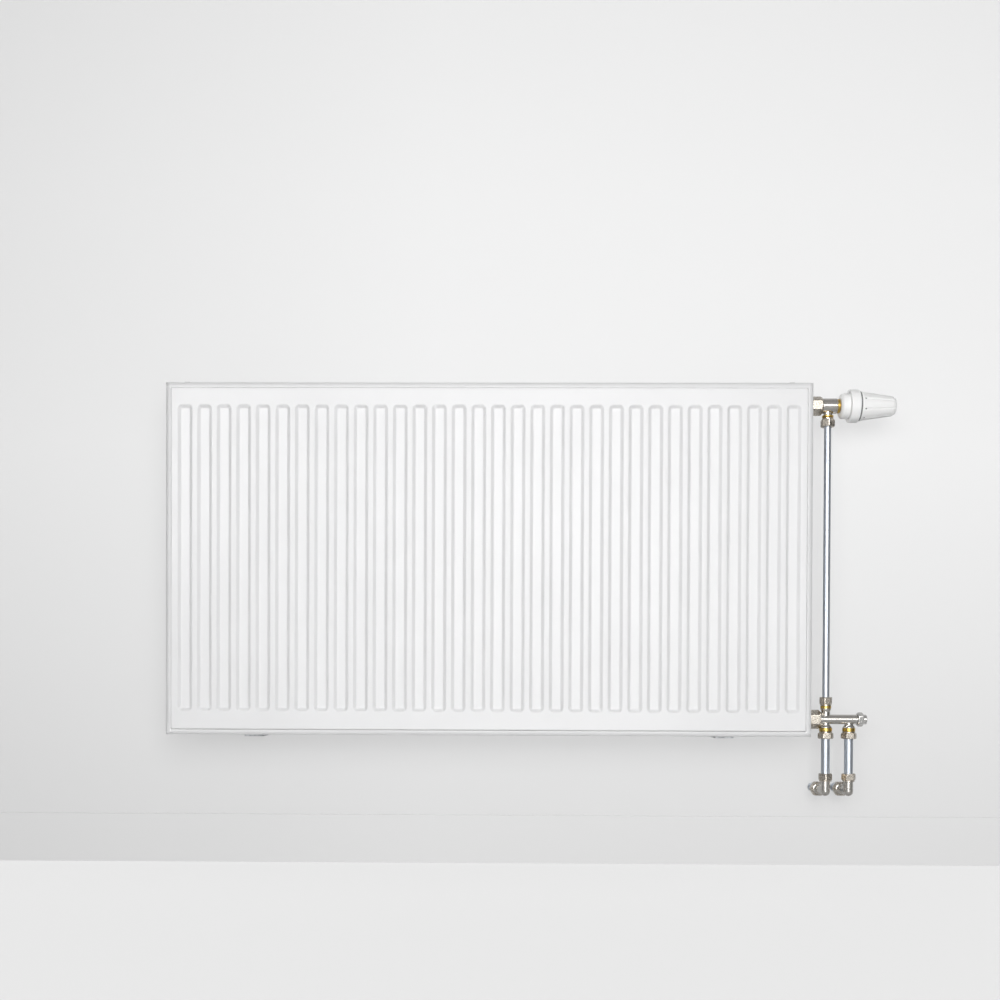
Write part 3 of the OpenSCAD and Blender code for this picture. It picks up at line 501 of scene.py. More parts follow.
@dataclass(frozen=True)
class Brass(Finish):
    """Plain turned brass with rings from the tool across one axis."""

    roughness: float = 0.24
    ring_axis: str = "Z"

    def dress(self, graph: Graph) -> None:
        """Lays the turned rings, a slight tarnish and the gloss."""
        points = graph.points()
        graph.tones(graph.noise(points, 210.0, 4.0), shade(self.tone, 0.78), self.tone)
        wave = graph.add("ShaderNodeTexWave", wave_type="BANDS", bands_direction=self.ring_axis,
                         scale=900.0, distortion=0.6)
        graph.join(points, wave, "Vector")
        rings = (wave, "Fac")
        graph.gloss(rings, self.roughness * 0.85, self.roughness * 1.2)
        graph.bump(rings, 0.15, 0.00008)
        graph.settings(Metallic=1.0)


@dataclass(frozen=True)
class Zinc(Finish):
    """Galvanised sheet with the pale flakes of its crystals."""

    def dress(self, graph: Graph) -> None:
        """Lays the flakes in tone and gloss."""
        points = graph.points()
        cells = graph.add("ShaderNodeTexVoronoi", scale=140.0)
        graph.join(points, cells, "Vector")
        flakes = (cells, "Distance")
        graph.tones(flakes, shade(self.tone, 1.05), shade(self.tone, 0.86))
        graph.gloss(flakes, self.roughness - 0.08, self.roughness + 0.1)
        graph.bump(graph.noise(points, 700.0, 3.0), 0.08, 0.0001)
        graph.settings(Metallic=0.85)


@dataclass(frozen=True)
class Rubber(Finish):
    """Dark rubber with a dull bloom."""

    def dress(self, graph: Graph) -> None:
        """Lays the bloom and a fine uneven surface."""
        points = graph.points()
        bloom = graph.noise(points, 300.0, 4.0)
        graph.tones(bloom, shade(self.tone, 0.7), shade(self.tone, 1.4))
        graph.gloss(bloom, self.roughness - 0.1, self.roughness + 0.1)
        graph.bump(graph.noise(points, 1800.0, 2.0), 0.2, 0.0001)


PANEL_ENAMEL = Enamel("panel_enamel", (0.793, 0.793, 0.798), roughness=0.42, coat=0.06)
COVER_ENAMEL = Enamel("cover_enamel", (0.79, 0.79, 0.795), roughness=0.4, coat=0.08)
CHANNEL_PRIMER = Enamel("channel_primer", (0.70, 0.70, 0.70))
FIN_ENAMEL = Enamel("fin_enamel", (0.62, 0.63, 0.64))
BRACKET_ZINC = Zinc("bracket_zinc", (0.66, 0.67, 0.69), roughness=0.45)
HEAD_PLASTIC = MouldedPlastic("head_plastic", (0.93, 0.93, 0.925))
CAP_PLASTIC = MouldedPlastic("cap_plastic", (0.82, 0.82, 0.82), roughness=0.34)
CLIP_PLASTIC = MouldedPlastic("clip_plastic", (0.60, 0.60, 0.60), roughness=0.5)
PAD_PLASTIC = MouldedPlastic("pad_plastic", (0.30, 0.31, 0.33), roughness=0.5)
NUT_NICKEL = Plating("nut_nickel", (0.70, 0.645, 0.565), roughness=0.24)
BODY_NICKEL = Plating("body_nickel", (0.74, 0.715, 0.675), roughness=0.16)
BRIGHT_NICKEL = Plating("bright_nickel", (0.86, 0.85, 0.83), roughness=0.13)
PIPE_STEEL = DrawnSteel("pipe_steel", (0.65, 0.70, 0.765), roughness=0.4)
STUB_STEEL = DrawnSteel("stub_steel", (0.65, 0.70, 0.765), roughness=0.4, lie=(1.0, 0.03, 1.0))
TURNED_BRASS = Brass("turned_brass", (0.80, 0.56, 0.16))
INNER_BRASS = Brass("inner_brass", (0.76, 0.55, 0.22), ring_axis="X")
SPRING_STEEL = Plating("spring_steel", (0.52, 0.53, 0.55), roughness=0.28)
WAX_CAPSULE = Plating("wax_capsule", (0.72, 0.55, 0.40), roughness=0.34)
SEAL_RUBBER = Rubber("seal_rubber", (0.035, 0.035, 0.038), roughness=0.7)


# ---------- pieces ----------


@dataclass(frozen=True)
class Dressing:
    """Solids of the frame that stay as they are and share a finish.

    Where an edge is given, their edges are cut back by that many millimetres.
    """

    finish: Finish
    edge: Optional[float]
    nodes: tuple[str, ...]

    def build(self) -> None:
        """Gives each solid its finish and, where asked, soft edges."""
        for node in self.nodes:
            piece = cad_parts[node]
            piece.data.materials.clear()
            piece.data.materials.append(self.finish.material())
            if self.edge is not None:
                piece.modifiers.new("weld", "WELD").merge_threshold = 1e-6
                bevel = piece.modifiers.new("edges", "BEVEL")
                bevel.width = self.edge * MM
                bevel.segments = 2
                bevel.limit_method = "ANGLE"
                bevel.angle_limit = math.radians(SHARP)
                bevel.harden_normals = True
                bevel.use_clamp_overlap = True
            LOG.info("%s: finish %s", node, self.finish.name)


SOFT_EDGE, SHEET_EDGE = 0.35, 0.25
DRESSINGS = (
    Dressing(PANEL_ENAMEL, None, ("front_inner_sheet", "rear_inner_sheet")),
    Dressing(CHANNEL_PRIMER, SHEET_EDGE, ("hub_top_left", "hub_top_right", "hub_bottom_left",
                                          "hub_bottom_right")),
    Dressing(FIN_ENAMEL, None, ("front_convector", "rear_convector")),
    Dressing(COVER_ENAMEL, SHEET_EDGE, ("top_grille", "left_side_panel", "right_side_panel")),
    Dressing(BRACKET_ZINC, SHEET_EDGE, ("left_wall_bracket", "right_wall_bracket",
                                        "left_bracket_latch", "right_bracket_latch")),
    Dressing(PAD_PLASTIC, SOFT_EDGE, ("bracket_pads",)),
    Dressing(CLIP_PLASTIC, SOFT_EDGE, ("grille_clips",)),
    Dressing(CLIP_PLASTIC, None, ("limiter_pins", "push_rod")),
    Dressing(BODY_NICKEL, SOFT_EDGE, ("vent_plug", "blank_plug", "vent_screw")),
    Dressing(SEAL_RUBBER, None, ("plug_seals", "union_washers", "insert_seals", "valve_disc",
                                 "chamber_seals")),
    Dressing(SPRING_STEEL, None, ("valve_spindle", "valve_spring", "overtravel_spring")),
    Dressing(INNER_BRASS, None, ("return_tube", "regulating_plug", "regulating_stem", "olives")),
    Dressing(INNER_BRASS, SOFT_EDGE, ("head_retaining_nut",)),
    Dressing(WAX_CAPSULE, SOFT_EDGE, ("sensor_capsule",)),
)


def add_piece(name: str, skins: Sequence[Skin], finish: Finish, slot: str, *instead_of: str,
              body: str = "radiator", sharp: float = SHARP) -> bpy.types.Object:
    """Makes a new piece of the object.

    Args:
        name: the piece's name.
        skins: its surfaces.
        finish: what it is covered with.
        slot: the name of the piece's material slot; not used.
        instead_of: the solids of the frame that it stands for.
        body: the moving body that it rides on.
        sharp: the angle in degrees above which an edge stays sharp.

    Returns:
        The piece.
    """
    mesh = mesh_of(name, skins, sharp)
    mesh.materials.append(finish.material())
    piece = bpy.data.objects.new(name, mesh)
    bpy.context.scene.collection.objects.link(piece)
    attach(piece, body)
    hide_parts(*instead_of)
    even = piece.modifiers.new("even_normals", "WEIGHTED_NORMAL")
    even.keep_sharp = True
    LOG.info("%s: %d faces, finish %s", name, len(mesh.polygons), finish.name)
    return piece


@dataclass(frozen=True)
class Layout:
    """The places that the pieces share, in metres, read from the frame's solids."""

    pipe_x: float
    second_x: float
    pipe_y: float
    valve_z: float
    bar_z: float
    arm_z: float
    head_x: float

    @classmethod
    def from_frame(cls) -> "Layout":
        """Reads the places from the boxes of the pipes, the knob and the manifold's tube."""
        riser, (first, last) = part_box("riser_pipe"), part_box("drop_pipes")
        knob, tube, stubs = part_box("setting_knob"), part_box("return_tube"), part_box("stub_pipes")
        riser_x = (riser[0].x + riser[1].x) / 2
        return cls(
            pipe_x=riser_x,
            second_x=first.x + last.x - riser_x,
            pipe_y=(riser[0].y + riser[1].y) / 2,
            valve_z=(knob[0].z + knob[1].z) / 2,
            bar_z=(tube[0].z + tube[1].z) / 2,
            arm_z=(stubs[0].z + stubs[1].z) / 2,
            head_x=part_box("head_base")[0].x,
        )

    @property
    def both_x(self) -> tuple[float, float]:
        """The places along X of the two upright lines of pipe."""
        return self.pipe_x, self.second_x

    def line(self, x: float, z: float, way: Direction) -> Spindle:
        """Gives a line in the pipes' plane that starts at a place and runs a named way."""
        return Spindle.lying((x, self.pipe_y, z), way)


@dataclass
class Panels:
    """The outer of the pressed steel sheets that hold the water."""

    channels: int = 33
    pitch: float = 100.0 / 3.0
    sheet: float = 1.25
    press: float = 4.75
    rim: float = 9.2
    rim_slope: float = 2.6
    rim_corner: float = 2.4
    groove: float = 19.5
    groove_corner: float = 5.0
    slope: float = 7.0
    above: float = 41.0
    below: float = 43.0

    def build(self) -> None:
        """Makes both outer sheets."""
        self.outer_sheet("front_face", "front_outer_sheet", -1)
        self.outer_sheet("rear_face", "rear_outer_sheet", 1)

    def rim_places(self, half: float) -> list[Rows]:
        """Gives the grid's places across the rims at both ends of a direction."""
        steps = np.linspace(-0.5, 0.5, 7) * self.rim_slope
        turn = np.array([-1.6, -0.8]) * self.rim_corner - self.rim_slope / 2
        edge = half - self.rim + np.concatenate([turn, steps])
        return [edge, -edge, [-half, half]]

    def columns(self, half: float) -> Rows:
        """Gives the grid's places along the panel, close together where the sheet bends."""
        steps = np.linspace(-0.5, 0.5, 11) * self.slope
        middles = (np.arange(1, self.channels) - self.channels / 2) * self.pitch
        walls = np.concatenate([steps - self.groove / 2, steps + self.groove / 2])
        across = np.concatenate([walls, [-self.pitch / 2, -2.6, 2.6]])
        places = [(middles[:, None] + across[None]).ravel()] + self.rim_places(half)
        return np.unique(np.round(np.concatenate(places), 4))

    def rows(self, half: float) -> Rows:
        """Gives the grid's places up the panel, close together at the groove ends and the rim."""
        turn = np.linspace(-self.groove_corner - self.slope / 2 - 1, self.slope / 2, 18)
        long_part = np.linspace(-half + 70, half - 70, 7)
        places = [half - self.above + turn, -(half - self.below + turn), long_part]
        return np.unique(np.round(np.concatenate(places + self.rim_places(half)), 4))

    @staticmethod
    def past_edge(x: Rows, z: Rows, half_x: float, half_z: float, corner: float) -> Rows:
        """Gives the distance to a rectangle with round corners, negative inside it.

        With q = |place| - half size + corner in each direction, the distance is the length
        of q's positive part, plus the larger q where both are negative, less the corner.
        """
        out_x, out_z = np.abs(x) - half_x + corner, np.abs(z) - half_z + corner
        outside = np.hypot(np.maximum(out_x, 0), np.maximum(out_z, 0))
        return outside + np.minimum(np.maximum(out_x, out_z), 0) - corner

    def raised(self, x: Rows, z: Rows, half_w: float, half_h: float) -> Rows:
        """Says how far the sheet stands out at each place, from 0 to 1.

        The field inside the rim stands out, and each groove is a rectangle with round corners
        that is pressed back. A place's share is the smooth step of its distance to each edge
        over the width of that slope.
        """
        past_field = self.past_edge(x, z, half_w - self.rim, half_h - self.rim, self.rim_corner)
        top, low = half_h - self.above, self.below - half_h
        last = self.channels - 2
        near = np.clip(np.round(x / self.pitch + last / 2), 0, last)
        off_x = x - (near - last / 2) * self.pitch
        past_groove = self.past_edge(off_x, z - (top + low) / 2, self.groove / 2,
                                     (top - low) / 2, self.groove_corner)
        field = smooth_step(0.5 - past_field / self.rim_slope)
        return field * smooth_step(0.5 + past_groove / self.slope)

    def outer_sheet(self, name: str, node: str, facing: int) -> None:
        """Makes one outer sheet.

        Args:
            name: the new piece's name.
            node: the solid that it stands for.
            facing: -1 for the sheet that faces the room and 1 for the one at the wall.
        """
        low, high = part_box(node)
        half_w, half_h = (high.x - low.x) / 2 / MM, (high.z - low.z) / 2 / MM
        face = low.y if facing < 0 else high.y
        x, z = np.meshgrid(self.columns(half_w), self.rows(half_h))
        y = face - facing * MM * self.press * (1 - self.raised(x, z, half_w, half_h))
        grid = np.stack([x * MM, y, z * MM], -1)
        grid = grid if facing < 0 else grid[:, ::-1]
        skin = Skin(grid, wrap_rows=False, wrap_columns=False, solid=False)
        piece = add_piece(name, [skin], PANEL_ENAMEL, "enamel", node, sharp=60)
        wall = piece.modifiers.new("sheet", "SOLIDIFY")
        wall.thickness = self.sheet * MM
        wall.offset = -1
        wall.use_even_offset = False


@dataclass(frozen=True)
class HexNut:
    """A six-sided nut about a spindle, with its ends turned down.

    The side at angle a from the middle of a flat lies at (flats / 2) / cos(a), and never
    further out than the turned envelope, so the corners end in the curves that turning
    leaves. The envelope is a chamfer at the high end, and at the low end either the same
    chamfer or a round skirt that opens in a cone to the corners. STEPS are the angles in
    degrees where each of the six sides has its columns.
    """

    STEPS: ClassVar[tuple[float, ...]] = (-30, -29.2, -28.2, -27, -25, -22, -17, -9, 0,
                                          9, 17, 22, 25, 27, 28.2, 29.2)

    flats: float
    low: float
    high: float
    bore: float
    thread: float
    back: float
    skirt: float = 0.0
    skirt_length: float = 2.0
    flare: float = 0.6
    corner_cut: float = 0.35
    chamfer: float = 1.1

    def envelope(self, outer: float, face: float) -> Rows:
        """Gives the turned envelope as (radius, height) points from the low end to the high."""
        if self.skirt:
            cone = self.low + self.skirt_length + self.flare * (outer - self.skirt)
            start = [(self.skirt - 0.35, self.low), (self.skirt, self.low + 0.35),
                     (self.skirt, self.low + self.skirt_length), (outer, cone)]
        else:
            start = [(face, self.low), (outer, self.low + self.chamfer)]
        return np.array(start + [(outer, self.high - self.chamfer), (face, self.high)])

    def skin(self, spindle: Spindle, turn: float = 0.0) -> Skin:
        """Makes the nut's surface.

        Args:
            spindle: the line through the nut.
            turn: the angle of a flat's middle from the spindle's zero side, in degrees.

        Returns:
            The closed surface, with the bore through it.
        """
        half = self.flats / 2
        outer = half / math.cos(math.pi / 6) - self.corner_cut
        face = half - 0.3
        angle = np.radians(np.add.outer(60 * np.arange(6), self.STEPS).ravel())
        side = np.minimum(half / np.cos(np.radians(np.tile(self.STEPS, 6))), outer)
        bends = self.envelope(outer, face)
        share = np.linspace(0, 1, 8, endpoint=False)
        along = (bends[:-1, None, 1] + share[None] * np.diff(bends[:, 1])[:, None]).ravel()
        heights = np.append(along, self.high)
        rings = np.minimum(side[None], np.interp(heights, bends[:, 1], bends[:, 0])[:, None])
        step, lead = self.high - self.back, 0.5
        low_rim = rings[0].min() - 0.2
        inner = np.array([[face - 0.9, self.high], [self.bore + lead, self.high],
                          [self.bore, self.high - lead], [self.bore, step],
                          [self.thread, step - 0.4], [self.thread, self.low + lead],
                          [min(self.thread + lead, low_rim), self.low], [low_rim, self.low]])
        radius = np.vstack([rings, np.repeat(inner[:, :1], len(angle), axis=1)])
        height = np.concatenate([heights, inner[:, 1]])
        return Skin(spindle.points(radius, angle[None] + math.radians(turn), height[:, None]))


def thread_rings(radius: float, low: float, high: float, pitch: float = 1.0,
                 depth: float = 0.45) -> Rows:
    """Gives the zigzag of a thread as (radius, height) points from low to high."""
    heights = np.arange(low, high, pitch / 2)
    return np.stack([radius - depth * (np.arange(len(heights)) % 2), heights], -1)


@dataclass(frozen=True)
class Joint:
    """A compression joint from its branch end: the pipe, the brass collar, the gap and the nut.

    The thread reaches a few millimetres into the nut.
    """

    pipe: float
    flats: float
    nut_length: float
    collar: float
    gap: float
    wall: float = 1.0
    reach: float = 5.0

    @property
    def thread(self) -> float:
        """The radius of the adapter's thread, halfway between the pipe and the nut's flats."""
        return (self.pipe + 0.1 + self.flats / 2) / 2

    @property
    def lip(self) -> float:
        """The radius of the collar and of the nut's skirt."""
        return self.thread + 1.1

    @property
    def nut_low(self) -> float:
        """The distance from the branch end to the nut."""
        return self.collar + self.gap

    def nut(self, start: float = 0.0) -> HexNut:
        """Gives the joint's nut, for a branch end at the given height."""
        low = start + self.nut_low
        return HexNut(self.flats, low, low + self.nut_length, self.pipe + 0.08,
                      self.thread + 0.1, 2.0, skirt=self.lip)

    def adapter(self, spindle: Spindle) -> Skin:
        """Makes the brass adapter: spigot, rounded collar, then the thread up into the nut."""
        end = self.nut_low + self.reach
        collar = rounded([(self.pipe - 0.4, 0), (self.lip, 0), (self.lip, self.collar),
                          (self.thread - 0.5, self.collar)], 0.4)
        outline = np.vstack([
            [[self.pipe - self.wall, -SPIGOT], [self.pipe - 0.4, -SPIGOT]], collar,
            thread_rings(self.thread, self.collar + 0.3, end),
            [[self.thread - 0.6, end], [self.pipe - self.wall, end]]])
        return turned(outline, spindle, 56)


def shell(outside: Sequence[tuple[float, float]], bore: float, spindle: Spindle,
          round_by: float = 0.5, columns: int = 72) -> Skin:
    """Turns a piece with a plain bore through it.

    Args:
        outside: the (radius, height) corners of the outside, from the low end to the high.
        bore: the radius of the bore, in millimetres.
        spindle: the line that the piece is turned about.
        round_by: how far the corners are rounded off.
        columns: how many columns go round.

    Returns:
        The closed surface.
    """
    ends = [(bore, outside[0][1]), *outside, (bore, outside[-1][1])]
    return turned(rounded(ends, round_by, closed=True), spindle, columns)


@dataclass
class Pipework:
    """The riser, the two drops, the stubs to the wall and all their compression joints."""

    layout: Layout
    riser_r: float = 6.0
    drop_r: float = 7.5
    wall: float = 1.0
    elbow_r: float = 8.0
    elbow_drop: float = 1.0
    leg_end: float = 16.2
    arm_end: float = 37.5
    valve_joint: Joint = Joint(6.0, 22.0, 15.0, 3.0, 1.5)
    riser_joint: Joint = Joint(6.0, 20.0, 15.0, 4.3, 0.3)
    drop_joint: Joint = Joint(7.5, 24.0, 12.5, 5.5, 0.5)
    leg_joint: Joint = Joint(7.5, 22.0, 13.5, 0.0, 0.3)
    arm_joint: Joint = Joint(7.5, 24.0, 14.0, 0.0, 0.5)

    def tubes(self, radius: float, spindles: Iterable[Spindle], low: float, high: float,
              ) -> list[Skin]:
        """Makes pipes with slightly rounded ends between two heights of their spindles."""
        ends = [(radius, low), (radius, high)]
        return [shell(ends, radius - self.wall, spindle, 0.25) for spindle in spindles]

    def upright(self, node: str, radius: float, places: Sequence[float]) -> list[Skin]:
        """Makes the upright pipes of one solid at the given places along X."""
        low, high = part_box(node)
        spindles = [self.layout.line(x, 0, Direction.UP) for x in places]
        return self.tubes(radius, spindles, low.z / MM, high.z / MM)

    def arm_turn(self) -> float:
        """The angle by which the arms lean off the wall's normal, found from the stubs' width."""
        low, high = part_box("stub_pipes")
        reach = high.y - self.layout.pipe_y
        left_end = low.x + self.drop_r * MM
        return math.atan2(self.layout.pipe_x - left_end, reach)

    def arms(self) -> list[Spindle]:
        """Gives the two lines that the elbows' arms run along, from leg to wall."""
        turn, at = self.arm_turn(), self.layout
        axis = (-math.sin(turn), math.cos(turn), 0.0)
        return [Spindle((x, at.pipe_y, at.arm_z), axis, (0.0, 0.0, 1.0)) for x in at.both_x]

    def legs(self) -> list[Spindle]:
        """Gives the upright lines of the elbows, from the arms' height."""
        at = self.layout
        return [at.line(x, at.arm_z, Direction.UP) for x in at.both_x]

    def build(self) -> None:
        """Makes the pipes, adapters, nuts and elbows."""
        at = self.layout
        add_piece("riser_tube", self.upright("riser_pipe", self.riser_r, (at.pipe_x,)),
                  PIPE_STEEL, "pipe", "riser_pipe")
        add_piece("drop_tubes", self.upright("drop_pipes", self.drop_r, at.both_x),
                  PIPE_STEEL, "pipe", "drop_pipes")
        self.stubs()
        low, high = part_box("riser_adapters")
        riser = ((self.valve_joint, at.line(at.pipe_x, high.z - SPIGOT * MM, Direction.DOWN), 30.0),
                 (self.riser_joint, at.line(at.pipe_x, low.z + SPIGOT * MM, Direction.UP), 8.0))
        drop_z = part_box("drop_adapters")[1].z - SPIGOT * MM
        drops = [(self.drop_joint, at.line(x, drop_z, Direction.DOWN), 0.0) for x in at.both_x]
        for name, ends in (("riser", riser), ("drop", drops)):
            add_piece(f"{name}_collars", [joint.adapter(line) for joint, line, _ in ends],
                      TURNED_BRASS, "brass", f"{name}_adapters")
            add_piece(f"{name}_hex_nuts", [joint.nut().skin(*where) for joint, *where in ends],
                      NUT_NICKEL, "nickel", f"{name}_nuts")
        add_piece("cast_elbows", [self.leg(s) for s in self.legs()]
                  + [self.arm(s) for s in self.arms()], BODY_NICKEL, "nickel", "elbows")
        skins = [self.leg_joint.nut(self.leg_end).skin(leg, turn)
                 for leg, turn in zip(self.legs(), (22.0, 2.0))]
        skins += [self.arm_joint.nut(self.arm_end).skin(arm) for arm in self.arms()]
        add_piece("elbow_hex_nuts", skins, NUT_NICKEL, "nickel", "elbow_nuts")

    def stubs(self) -> None:
        """Makes the stub pipes that run from the arms to the wall."""
        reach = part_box("stub_pipes")[1].y - self.layout.pipe_y
        turn = self.arm_turn()
        end = reach / math.cos(turn) / MM - self.drop_r * math.tan(turn)
        add_piece("stub_tubes", self.tubes(self.drop_r, self.arms(), self.arm_end + 2.0, end),
                  STUB_STEEL, "pipe", "stub_pipes")

    def mouth(self, joint: Joint, start: float, bore: float, floor: float) -> Rows:
        """Gives the thread at a branch's end, the seat of its pipe and the bore to its floor."""
        end, seat = start + joint.nut_low + joint.reach, start + 2.0
        hollow = [[self.drop_r + 0.1, end], [self.drop_r + 0.1, seat], [bore, seat],
                  [bore, floor], [0.0, floor]]
        return np.vstack([thread_rings(joint.thread, start + 0.2, end), hollow])

    def leg(self, spindle: Spindle) -> Skin:
        """Turns an elbow's leg: a round foot, a fine ring, the shoulder and the thread."""
        r, joint, bore = self.elbow_r, self.leg_joint, self.drop_r - self.wall - 0.5
        a = np.radians(np.arange(0, 91, 7.5))
        foot = np.stack([r * np.sin(a), -self.elbow_drop - r * np.cos(a)], -1)
        foot[0, 0] = 0.0
        ring = rounded([(r, 3.4), (r - 0.35, 3.8), (r - 0.35, 4.6), (r, 5.0)], 0.2)
        shoulder = rounded([(r, 5.2), (r, self.leg_end), (joint.thread - 0.4, self.leg_end)], 0.7)
        outline = np.vstack([foot, ring, shoulder[1:], self.mouth(joint, self.leg_end, bore, 0.0)])
        return turned(outline, spindle, 72)

    def arm(self, spindle: Spindle) -> Skin:
        """Turns an elbow's arm: a straight run out of the leg, then the thread."""
        r, joint, bore = self.elbow_r - 0.2, self.arm_joint, self.drop_r - self.wall - 0.6
        barrel = rounded([(r, 0.0), (r, self.arm_end - 4.0), (r + 1.2, self.arm_end - 2.6),
                          (r + 1.2, self.arm_end), (joint.thread - 0.5, self.arm_end)], 0.6)
        outline = np.vstack([[[0.0, 0.0]], barrel, self.mouth(joint, self.arm_end, bore, 1.0)])
        return turned(outline, spindle, 72)


@dataclass
class Valve:
    """The outside of the thermostatic valve with its unions and its insert."""

    layout: Layout
    union_flats: float = 29.5
    union_thread: float = 12.0
    tail_r: float = 9.3
    tail_bore: float = 6.5
    body_r: float = 13.0
    chamber_r: float = 8.5
    branch_r: float = 7.3
    branch_bore: float = 5.6
    insert_r: float = 12.0
    insert_collar: float = 3.2
    spindle_bore: float = 3.05

    def build(self) -> None:
        """Makes the unions and the valve's outside."""
        self.unions()
        self.body()
        self.insert()

    def unions(self) -> None:
        """Makes the union nuts and the tailpieces of the valve and of the manifold."""
        low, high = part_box("union_nuts")
        width = (high.x - low.x) / MM
        nut = HexNut(self.union_flats, 0.0, width, self.tail_r + 0.3, self.union_thread + 0.1,
                     4.0, corner_cut=0.5, chamfer=1.8)
        at = self.layout
        rows = (at.valve_z, at.bar_z)
        skins = [nut.skin(at.line(high.x, z, Direction.LEFT), 30.0) for z in rows]
        add_piece("union_hex_nuts", skins, NUT_NICKEL, "nickel", "union_nuts")
        low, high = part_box("tailpieces")
        length, flange = (high.x - low.x) / MM, self.union_thread - 0.3
        outside = [(self.tail_r, 0), (self.tail_r, length - 4.0), (flange, length - 4.0),
                   (flange, length)]
        tails = [shell(outside, self.tail_bore, at.line(low.x, z, Direction.RIGHT), 0.3)
                 for z in rows]
        add_piece("union_tails", tails, BODY_NICKEL, "nickel", "tailpieces")

    def body(self) -> None:
        """Turns the valve's body and its branch."""
        at, (low, high) = self.layout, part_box("valve_body")
        start = (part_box("union_nuts")[1].x - low.x) / MM + 0.6
        length = (high.x - low.x) / MM
        r = self.body_r
        bends = [(self.union_thread, 0), (self.union_thread, start), (r - 0.7, start),
                 (r, start + 0.9), (r, length - 1.6), (r - 1.2, length)]
        barrel = shell(bends, self.chamber_r, at.line(low.x, at.valve_z, Direction.RIGHT), 0.6, 96)
        end = at.valve_z - (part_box("riser_adapters")[1].z - SPIGOT * MM)
        branch = shell([(self.branch_r, 9.5), (self.branch_r, end / MM - 1.2),
                        (self.branch_r + 0.8, end / MM)], self.branch_bore,
                       at.line(at.pipe_x, at.valve_z, Direction.DOWN), 0.4)
        add_piece("valve_casting", [barrel, branch], BODY_NICKEL, "nickel", "valve_body")

    def insert(self) -> None:
        """Turns the insert: the part in the body, the collar and the thread for the head."""
        low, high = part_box("valve_insert")
        body_end = (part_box("valve_body")[1].x - low.x) / MM
        length, collar = (high.x - low.x) / MM, body_end + self.insert_collar
        thread = self.insert_r - 1.0
        outline = np.vstack([
            [[self.spindle_bore, 0.0], [self.chamber_r - 0.1, 0.0],
             [self.chamber_r - 0.1, body_end]],
            rounded([(self.chamber_r, body_end), (self.insert_r, body_end),
                     (self.insert_r, collar), (thread - 0.4, collar)], 0.4),
            thread_rings(thread, collar + 0.2, length - 0.4),
            [[thread - 0.6, length], [self.spindle_bore, length]]])
        skin = turned(outline, self.layout.line(low.x, self.layout.valve_z, Direction.RIGHT), 72)
        add_piece("insert_brass", [skin], TURNED_BRASS, "brass", "valve_insert")


@dataclass
class Manifold:
    """The bar at the bottom with its three necks and its cap."""

    layout: Layout
    bar_r: float = 8.2
    bore: float = 5.4
    union_thread: float = 12.0
    male_len: float = 10.0
    neck_r: float = 7.3
    riser_flare: float = 8.85
    drop_flare: float = 10.4
    stem_bore: float = 3.05
    cap_len: float = 16.0
    cap_flats: float = 22.0

    @property
    def male_r(self) -> float:
        """The radius of the thread under the cap."""
        return self.bar_r - 1.2

    def build(self) -> None:
        """Makes the bar with its necks and the cap."""
        low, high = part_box("manifold_body")
        bar = self.layout.line(low.x, self.layout.bar_z, Direction.RIGHT)
        length = (high.x - low.x) / MM
        self.body(bar, length, low.z, high.z)
        self.cap(bar, length)

    def body(self, bar: Spindle, length: float, foot: float, head: float) -> None:
        """Makes the bar and its three necks.

        Args:
            bar: the line through the bar, from the end of its union thread.
            length: the bar's length to the end of the thread under the cap.
            foot: the height of the lower necks' ends, in metres.
            head: the height of the upper neck's end, in metres.
        """
        start = (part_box("union_nuts")[1].x - bar.place[0]) / MM + 0.6
        step, shoulder = self.union_thread + 0.8, length - self.male_len
        front = rounded([(self.union_thread, 0), (self.union_thread, start), (step, start),
                         (step, start + 2.5), (self.bar_r, start + 3.4), (self.bar_r, shoulder),
                         (self.male_r - 0.4, shoulder)], 0.5)
        outline = np.vstack([[[self.bore, 0.0]], front,
                             thread_rings(self.male_r, shoulder + 0.3, length - 0.5),
                             [[self.male_r - 0.7, length], [self.stem_bore, length],
                              [self.stem_bore, length - 3.0], [self.bore, length - 3.0]]])
        at = self.layout
        up, down = (head - at.bar_z) / MM, (at.bar_z - foot) / MM
        skins = [turned(outline, bar, 96),
                 self.neck(at.line(at.pipe_x, at.bar_z, Direction.UP), up, self.riser_flare)]
        skins += [self.neck(at.line(x, at.bar_z, Direction.DOWN), down, self.drop_flare)
                  for x in at.both_x]
        add_piece("manifold_casting", skins, BODY_NICKEL, "nickel", "manifold_body")

    def neck(self, spindle: Spindle, end: float, flare: float) -> Skin:
        """Turns a neck that opens in a cone to its flat lip."""
        bends = [(self.neck_r, 5.6), (self.neck_r, end - 5.2), (flare, end - 1.6), (flare, end)]
        return shell(bends, 4.4, spindle, 0.7)

    def cap(self, bar: Spindle, length: float) -> None:
        """Makes the cap: a hexagon to grip and a round end with a soft edge."""
        shoulder = length - self.male_len
        grip_end, end = shoulder + 0.6 * self.cap_len, shoulder + self.cap_len
        bore = self.male_r + 0.3
        grip = HexNut(self.cap_flats, shoulder + 0.3, grip_end, bore, bore, 1.0, chamfer=1.6)
        outside = rounded([(self.bar_r + 0.2, grip_end - 1.4), (self.bar_r + 0.2, end - 0.9),
                           (self.bar_r - 0.7, end), (0.0, end)], 0.5)
        inside = [[bore, grip_end - 1.4], [bore, length + 0.3], [4.0, length + 0.3],
                  [4.0, length + 3.9], [0.0, length + 3.9]]
        cup = turned(np.vstack([outside[::-1], inside]), bar, 72)
        add_piece("grip_cap", [grip.skin(bar, 30.0), cup], BRIGHT_NICKEL, "nickel", "manifold_cap",
                  body="cap")


